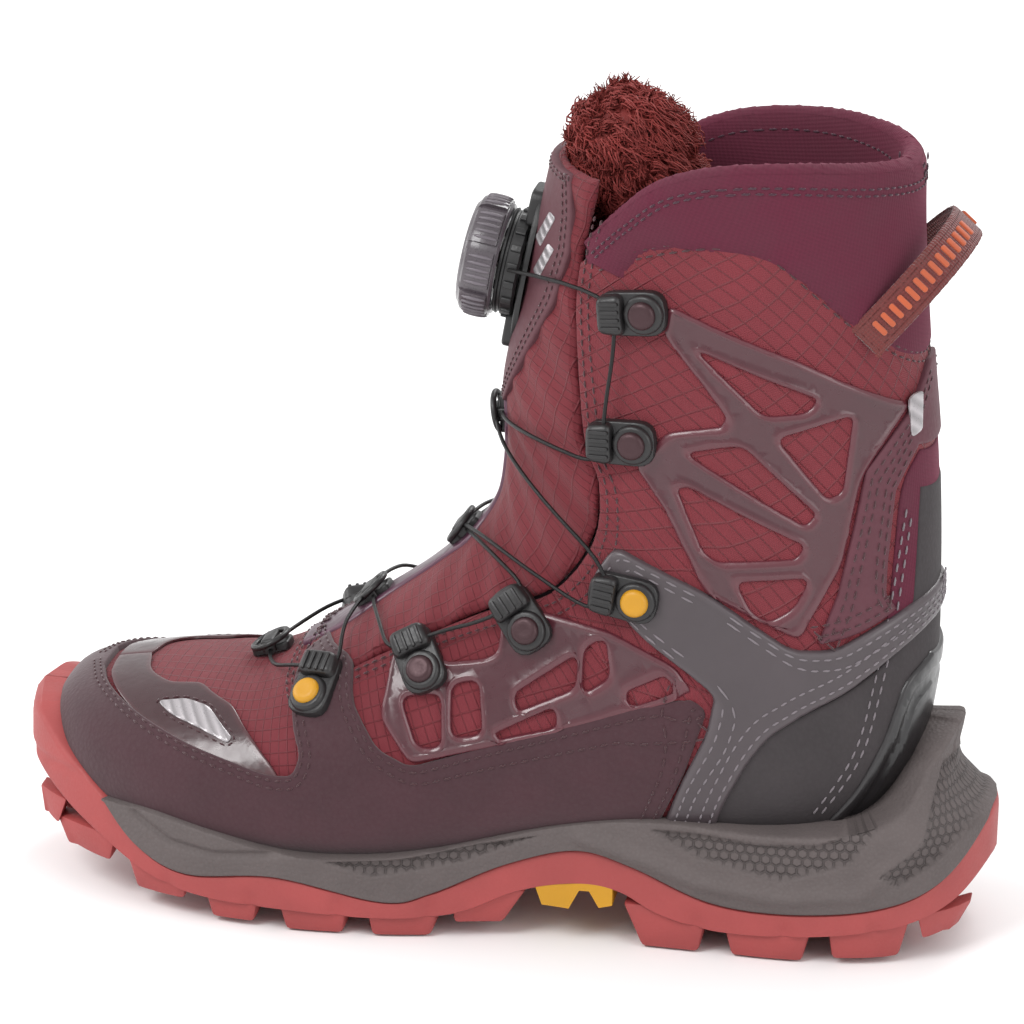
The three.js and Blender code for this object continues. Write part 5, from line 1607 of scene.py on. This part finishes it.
def make_reel():
    """The dial reel: winged base, housing and a knurled knob with ribbed grip pads."""
    turn = dial_matrix()
    bm = bmesh.new()
    plate(bm, ellipse(HOUSING_RADIUS + 8.6, HOUSING_RADIUS - 1.4, 48), 0.4, REEL_BASE_TOP, 0.7)
    for s in (-1, 1):
        wing = rounded([(s * 13, -8.5), (s * 24.5, -7), (s * 24.5, 7), (s * 13, 8.5)], 3)
        plate(bm, wing if s > 0 else list(reversed(wing)), 1.0, REEL_BASE_TOP + 2.4, 0.9)
    dress(as_object(settle(bm, turn), "reel_plate", 40), "reel_plastic", "tongue", ("reel_base",))
    floor = REEL_BASE_TOP + 2 * GAP
    rim = floor + HOUSING_DEPTH
    bm = bmesh.new()
    r = HOUSING_RADIUS
    turned(bm, [(0, floor), (r - 0.6, floor), (r, floor + 0.6), (r, rim - 2.2),
                (r - 0.7, rim - 1.8), (r - 0.7, rim - 1.2),
                (r, rim - 0.8), (r - 0.4, rim), (r - 2, rim), (r - 2, floor + 1), (0, floor + 1)], 64)
    for k in range(18):
        a = k / 18 * 2 * math.pi
        block = bmesh.new()
        plate(block, rounded([(r - 1.2, -1.1), (r + 0.7, -1.1), (r + 0.7, 1.1), (r - 1.2, 1.1)],
                             0.4), floor + 0.6,
              rim - 2.6, 0.3, 2)
        bmesh.ops.rotate(block, cent=(0, 0, 0), matrix=Matrix.Rotation(a, 3, "Z"),
                         verts=block.verts[:])
        join_local(bm, block)
    dress(as_object(settle(bm, turn), "reel_drum", 40), "reel_plastic", "tongue", ("reel_housing",))
    back = rim + GAP
    front = back + KNOB_DEPTH
    bm = bmesh.new()
    k = KNOB_RADIUS - 1.1
    turned(bm, [(9.4, back + 1), (k - 2.6, back + 0.2), (k - 0.5, back + 0.2), (k, back + 0.9),
                (k, front - 3.4),
                (k - 0.7, front - 1.6), (k - 2.0, front - 0.5), (k - 4.0, front - 0.1),
                (k - 5.0, front - 0.5),
                (k - 5.6, front - 1.2), (k - 6.6, front - 1.4), (6.0, front - 1.2),
                (5.2, front - 0.4), (4.2, front - 0.1),
                (0, front)], 96)
    for pad in range(8):
        a = pad / 8 * 2 * math.pi
        block = bmesh.new()
        section = [(k - 0.6, back + 1.0), (k + 0.8, back + 1.4), (k + 1.05, back + 2.2),
                   (k + 1.05, front - 4.0),
                   (k + 0.2, front - 2.0), (k - 1.6, front - 1.0), (k - 2.4, front - 1.3)]
        verts = [block.verts.new((x, 0, z)) for x, z in section]
        start = block.faces.new(verts)
        aside = Matrix.Rotation(a - math.radians(18.5), 3, "Z")
        bmesh.ops.rotate(block, cent=(0, 0, 0), matrix=aside, verts=verts)
        bmesh.ops.spin(block, geom=[start], cent=(0, 0, 0), axis=(0, 0, 1), dvec=(0, 0, 0),
                       angle=math.radians(37), steps=8, use_merge=False)
        bmesh.ops.recalc_face_normals(block, faces=block.faces[:])
        join_local(bm, block)
    dress(as_object(settle(bm, turn), "knob_body", 35), "knob_rubber", "knob", ("dial_knob",))
    bm = bmesh.new()
    for pad in range(8):
        for rib in range(5):
            a = pad / 8 * 2 * math.pi + math.radians(-13 + rib * 6.5)
            place = Matrix.Rotation(a, 4,
                                    "Z") @ Matrix.Translation((k + 0.9, 0,
                                                               (back + front) / 2 - 0.8))
            size = Matrix.Diagonal((0.75, 0.62, KNOB_DEPTH * 0.33, 1))
            bmesh.ops.create_icosphere(bm, subdivisions=2, radius=1, matrix=place @ size)
    dress(as_object(settle(bm, turn), "knob_ribs", 80), "knob_rib", "knob")


# ---- Pull loop ----
LOOP_REACH, LOOP_WIDTH, LOOP_WALL, LOOP_LEAN = 40.0, 11.5, 1.8, 49.0


class LoopBand:
    """The pull loop's webbing as a flat strip: u along it, v across it, w out of it."""

    def __init__(self):
        u, v = on_last(106, 188, 1)
        t, a = np.array([np.interp(v, HEIGHT_V, HEIGHT_T)]), np.array([u / GIRTH])
        self.end = skin(t, a)[0]
        half = abs(self.end[1]) + 0.7 + LOOP_WALL
        f = np.linspace(-math.pi / 2, math.pi / 2, 181)
        self.line = np.stack([LOOP_REACH * np.cos(f), half * np.sin(f)], axis=1)
        run = np.linalg.norm(np.diff(self.line, axis=0), axis=1)
        self.run = np.concatenate([[0], np.cumsum(run)])

    def place(self, uvw):
        uvw = np.array(uvw, float).reshape(-1, 3)
        p, q, r = (np.stack([np.interp(uvw[:, 0] + step, self.run, line) for line in self.line.T],
                            axis=1) for step in (0, 0.5, -0.5))
        d = (q - r) / np.maximum(np.linalg.norm(q - r, axis=1, keepdims=True), 1e-9)
        out = np.stack([d[:, 1], -d[:, 0]], axis=1)
        flat_xy = p + out * uvw[:, 2:3]
        lean = math.radians(LOOP_LEAN)
        x, y, z = flat_xy[:, 0], flat_xy[:, 1], uvw[:, 1]
        turned_x = x * math.cos(lean) - z * math.sin(lean)
        turned_z = x * math.sin(lean) + z * math.cos(lean)
        return in_frame(np.stack([turned_x + self.end[0], y, turned_z + self.end[2]], axis=1))


def make_pull_loop():
    """The woven pull loop with its raised bars."""
    band = LoopBand()
    long, half = band.run[-1], LOOP_WIDTH / 2
    strip = rounded([(0.4, -half), (long - 0.4, -half), (long - 0.4, half), (0.4, half)], 1)
    bm = padded_shell(stepped(strip, 2), LOOP_WALL, 0.0, 1.2, 1.6)
    dress(bent(bm, "pull_loop_webbing", band), "webbing", "pull_loop", ("pull_loop",))
    bm = bmesh.new()
    for start in (7, long - 7 - 13 * 3.4):
        for k in range(14):
            u = start + k * 3.4
            bar = bmesh.new()
            corners = rounded([(u - 0.85, -2.6), (u + 0.85, -2.6), (u + 0.85, 2.6),
                               (u - 0.85, 2.6)], 0.8)
            plate(bar, corners, -0.2, 0.75, 0.3, 2)
            for v, p in zip(bar.verts, band.place([v.co for v in bar.verts])):
                v.co = p
            join_local(bm, bar)
    piece = as_object(bm, "pull_loop_bars", 50)
    dress(piece, "bar_thread", "pull_loop")


# ---- Frame nodes that stay, and the stage ----
def finish_nodes():
    """Gives every frame node that still shows the finish of its slot."""
    named = {"arch_insert": "arch_plastic", "shank_plate": "shank_steel", "lasting_board": "board",
             "footbed": "footbed_foam", "inner_lining": "lining_fleece", "reel_spool": "spool_plastic",
             "knob_carrier": "carrier_metal"}
    for name, finish in named.items():
        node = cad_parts[name]
        node.data.materials.clear()
        node.data.materials.append(FINISH[finish])
        if len(node.data.uv_layers) == 0:
            node.data.uv_layers.new(name="flat")


def make_stage():
    """A plain pale floor, soft lights and the camera."""
    scene = bpy.context.scene
    bm = bmesh.new()
    bmesh.ops.create_grid(bm, x_segments=2, y_segments=2, size=6)
    bmesh.ops.translate(bm, vec=(0, 0, -0.0004), verts=bm.verts[:])
    floor = as_object(bm, "floor")
    g, shader = new_finish("floor", (0.9, 0.9, 0.9, 1), 0.9)
    g.feed(shader, "Base Color", g.mix(g.noise(places(g), 2.0), (0.89, 0.89, 0.89, 1),
                                       (0.91, 0.91, 0.91, 1)))
    floor.data.materials.append(FINISH["floor"])
    world = bpy.data.worlds.new("studio")
    world.use_nodes = True
    world.node_tree.nodes["Background"].inputs[0].default_value = (1, 1, 1, 1)
    world.node_tree.nodes["Background"].inputs[1].default_value = 0.85
    scene.world = world
    for name, place, size, power in (("key", (-0.9, -1.3, 1.6), 0.9, 26),
                                     ("fill", (1.5, -1.0, 0.9), 1.2, 11),
                                     ("rim", (0.4, 1.4, 1.5), 0.8, 16), ("front", (-1.6, 0.2, 0.7), 0.8, 8)):
        lamp = bpy.data.lights.new(name, "AREA")
        lamp.energy = power
        lamp.size = size
        holder = bpy.data.objects.new(name, lamp)
        holder.location = place
        aim = Vector((0, 0, 0.12)) - Vector(place)
        holder.rotation_euler = aim.to_track_quat("-Z", "Y").to_euler()
        scene.collection.objects.link(holder)
    camera = bpy.data.cameras.new("camera")
    camera.sensor_width = 36
    camera.lens = 187.5
    camera.clip_end = 50
    view = bpy.data.objects.new("camera", camera)
    az, el, roll = math.radians(9.0), math.radians(17.5), math.radians(1.5)
    back = Vector((math.sin(az) * math.cos(el), -math.cos(az) * math.cos(el), math.sin(el)))
    right = Vector((math.cos(az), math.sin(az), 0))
    up = back.cross(right)
    turned_right = right * math.cos(roll) + up * math.sin(roll)
    turned_up = up * math.cos(roll) - right * math.sin(roll)
    matrix = Matrix((turned_right, turned_up, back)).transposed().to_4x4()
    target = Vector(in_frame([(0, 0, 119.5)])[0])
    matrix.translation = target + back * 1.6
    view.matrix_world = matrix
    scene.collection.objects.link(view)
    scene.camera = view
    scene.view_settings.view_transform = "Standard"


# ---- The add-on ----
class BootColours(bpy.types.PropertyGroup):
    """Colours of the boot's main materials."""
    cloth: bpy.props.FloatVectorProperty(
        name="Cloth", description="Colour of the woven cloth",
        subtype="COLOR", size=4, min=0, max=1, default=linear("84222f"))
    rand: bpy.props.FloatVectorProperty(
        name="Rand", description="Colour of the nubuck rand",
        subtype="COLOR", size=4, min=0, max=1, default=linear("44212a"))
    collar: bpy.props.FloatVectorProperty(
        name="Collar", description="Colour of the padded collar",
        subtype="COLOR", size=4, min=0, max=1, default=linear("621b34"))
    rubber: bpy.props.FloatVectorProperty(
        name="Rubber", description="Colour of the outsole rubber",
        subtype="COLOR", size=4, min=0, max=1, default=linear("b04a49"))


class BootSizes(bpy.types.PropertyGroup):
    """Sizes of the boot's sewn and laced details, in metres."""
    stitch_length: bpy.props.FloatProperty(
        name="Stitch Length", description="Length of one stitch",
        unit="LENGTH", precision=5, min=0.0005, default=0.0023)
    stitch_gap: bpy.props.FloatProperty(
        name="Stitch Gap", description="Gap between two stitches",
        unit="LENGTH", precision=5, min=0.0002, default=0.0011)
    lace_radius: bpy.props.FloatProperty(
        name="Lace Radius", description="Radius of the wire lace",
        unit="LENGTH", precision=5, min=0.0001, default=0.0006)
    strand_length: bpy.props.FloatProperty(
        name="Strand Length", description="Length of the fur's longest strand",
        unit="LENGTH", precision=5, min=0.0022, default=0.0042)
    strand_radius: bpy.props.FloatProperty(
        name="Strand Radius", description="Radius of a fur strand at its root",
        unit="LENGTH", precision=5, min=0.0001, default=0.00045)


class BOOT_OT_finishes(bpy.types.Operator):
    """Makes every material of the boot."""
    bl_idname = "boot.finishes"
    bl_label = "Make Finishes"

    def execute(self, context):
        make_finishes(context.scene.boot_colours)
        return {"FINISHED"}


class BOOT_OT_midsole(bpy.types.Operator):
    """Adds the sculpted foam midsole."""
    bl_idname = "boot.midsole"
    bl_label = "Add Midsole"

    def execute(self, context):
        make_midsole()
        return {"FINISHED"}


class BOOT_OT_outsole(bpy.types.Operator):
    """Adds the rubber outsole and its lugs."""
    bl_idname = "boot.outsole"
    bl_label = "Add Outsole"

    def execute(self, context):
        make_outsole()
        return {"FINISHED"}


class BOOT_OT_upper(bpy.types.Operator):
    """Adds the woven vamp and quarter."""
    bl_idname = "boot.upper"
    bl_label = "Add Upper"

    def execute(self, context):
        make_upper()
        return {"FINISHED"}


class BOOT_OT_rand(bpy.types.Operator):
    """Adds the rand, toe films and reflectors."""
    bl_idname = "boot.rand"
    bl_label = "Add Rand"

    def execute(self, context):
        make_rand()
        return {"FINISHED"}


class BOOT_OT_webs(bpy.types.Operator):
    """Adds the moulded webs."""
    bl_idname = "boot.webs"
    bl_label = "Add Webs"

    def execute(self, context):
        make_webs()
        return {"FINISHED"}


class BOOT_OT_heel(bpy.types.Operator):
    """Adds the saddles, heel panel, strap and clip."""
    bl_idname = "boot.heel"
    bl_label = "Add Heel"

    def execute(self, context):
        make_heel()
        return {"FINISHED"}


class BOOT_OT_collar(bpy.types.Operator):
    """Adds the padded collar."""
    bl_idname = "boot.collar"
    bl_label = "Add Collar"

    def execute(self, context):
        make_collar()
        return {"FINISHED"}


class BOOT_OT_tongue(bpy.types.Operator):
    """Adds the tongue with its plate and spine."""
    bl_idname = "boot.tongue"
    bl_label = "Add Tongue"

    def execute(self, context):
        make_tongue()
        return {"FINISHED"}


class BOOT_OT_fur(bpy.types.Operator):
    """Adds the pile on the tongue's top."""
    bl_idname = "boot.fur"
    bl_label = "Add Fur"

    def execute(self, context):
        make_fur(context.scene.boot_sizes)
        return {"FINISHED"}


class BOOT_OT_guides(bpy.types.Operator):
    """Adds the lace guides and their rivets."""
    bl_idname = "boot.guides"
    bl_label = "Add Guides"

    def execute(self, context):
        make_guides()
        return {"FINISHED"}


class BOOT_OT_keepers(bpy.types.Operator):
    """Adds the lace rings and the toe hook."""
    bl_idname = "boot.keepers"
    bl_label = "Add Keepers"

    def execute(self, context):
        make_keepers()
        return {"FINISHED"}


class BOOT_OT_lace(bpy.types.Operator):
    """Adds the wire lace."""
    bl_idname = "boot.lace"
    bl_label = "Add Lace"

    def execute(self, context):
        make_lace(context.scene.boot_sizes)
        return {"FINISHED"}


class BOOT_OT_reel(bpy.types.Operator):
    """Adds the dial reel."""
    bl_idname = "boot.reel"
    bl_label = "Add Reel"

    def execute(self, context):
        make_reel()
        return {"FINISHED"}


class BOOT_OT_pull_loop(bpy.types.Operator):
    """Adds the pull loop."""
    bl_idname = "boot.pull_loop"
    bl_label = "Add Pull Loop"

    def execute(self, context):
        make_pull_loop()
        return {"FINISHED"}


class BOOT_OT_nodes(bpy.types.Operator):
    """Gives the frame's own nodes their finishes."""
    bl_idname = "boot.nodes"
    bl_label = "Finish Nodes"

    def execute(self, context):
        finish_nodes()
        return {"FINISHED"}


class BOOT_OT_stage(bpy.types.Operator):
    """Adds the floor, lights and camera."""
    bl_idname = "boot.stage"
    bl_label = "Add Stage"

    def execute(self, context):
        make_stage()
        return {"FINISHED"}


OPERATORS = (
    BOOT_OT_finishes, BOOT_OT_midsole, BOOT_OT_outsole, BOOT_OT_upper, BOOT_OT_rand,
    BOOT_OT_webs, BOOT_OT_heel, BOOT_OT_collar, BOOT_OT_tongue, BOOT_OT_fur, BOOT_OT_guides,
    BOOT_OT_keepers, BOOT_OT_lace, BOOT_OT_reel, BOOT_OT_pull_loop, BOOT_OT_nodes,
    BOOT_OT_stage,
)


class BOOT_PT_panel(bpy.types.Panel):
    """Lists the boot's colours, sizes and steps."""
    bl_label = "Boot"
    bl_space_type = "VIEW_3D"
    bl_region_type = "UI"
    bl_category = "Boot"

    def draw(self, context):
        for group in (context.scene.boot_colours, context.scene.boot_sizes):
            for name in group.__annotations__:
                self.layout.prop(group, name)
        for operator in OPERATORS:
            self.layout.operator(operator.bl_idname)


CLASSES = (BootColours, BootSizes, *OPERATORS, BOOT_PT_panel)


def register():
    for item in CLASSES:
        bpy.utils.register_class(item)
    bpy.types.Scene.boot_colours = bpy.props.PointerProperty(type=BootColours)
    bpy.types.Scene.boot_sizes = bpy.props.PointerProperty(type=BootSizes)


def unregister():
    del bpy.types.Scene.boot_sizes
    del bpy.types.Scene.boot_colours
    for item in reversed(CLASSES):
        bpy.utils.unregister_class(item)


def main():
    """Registers the add-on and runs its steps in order."""
    register()
    for operator in OPERATORS:
        getattr(bpy.ops.boot, operator.bl_idname.split(".")[1])()


if __name__ == "__main__":
    main()
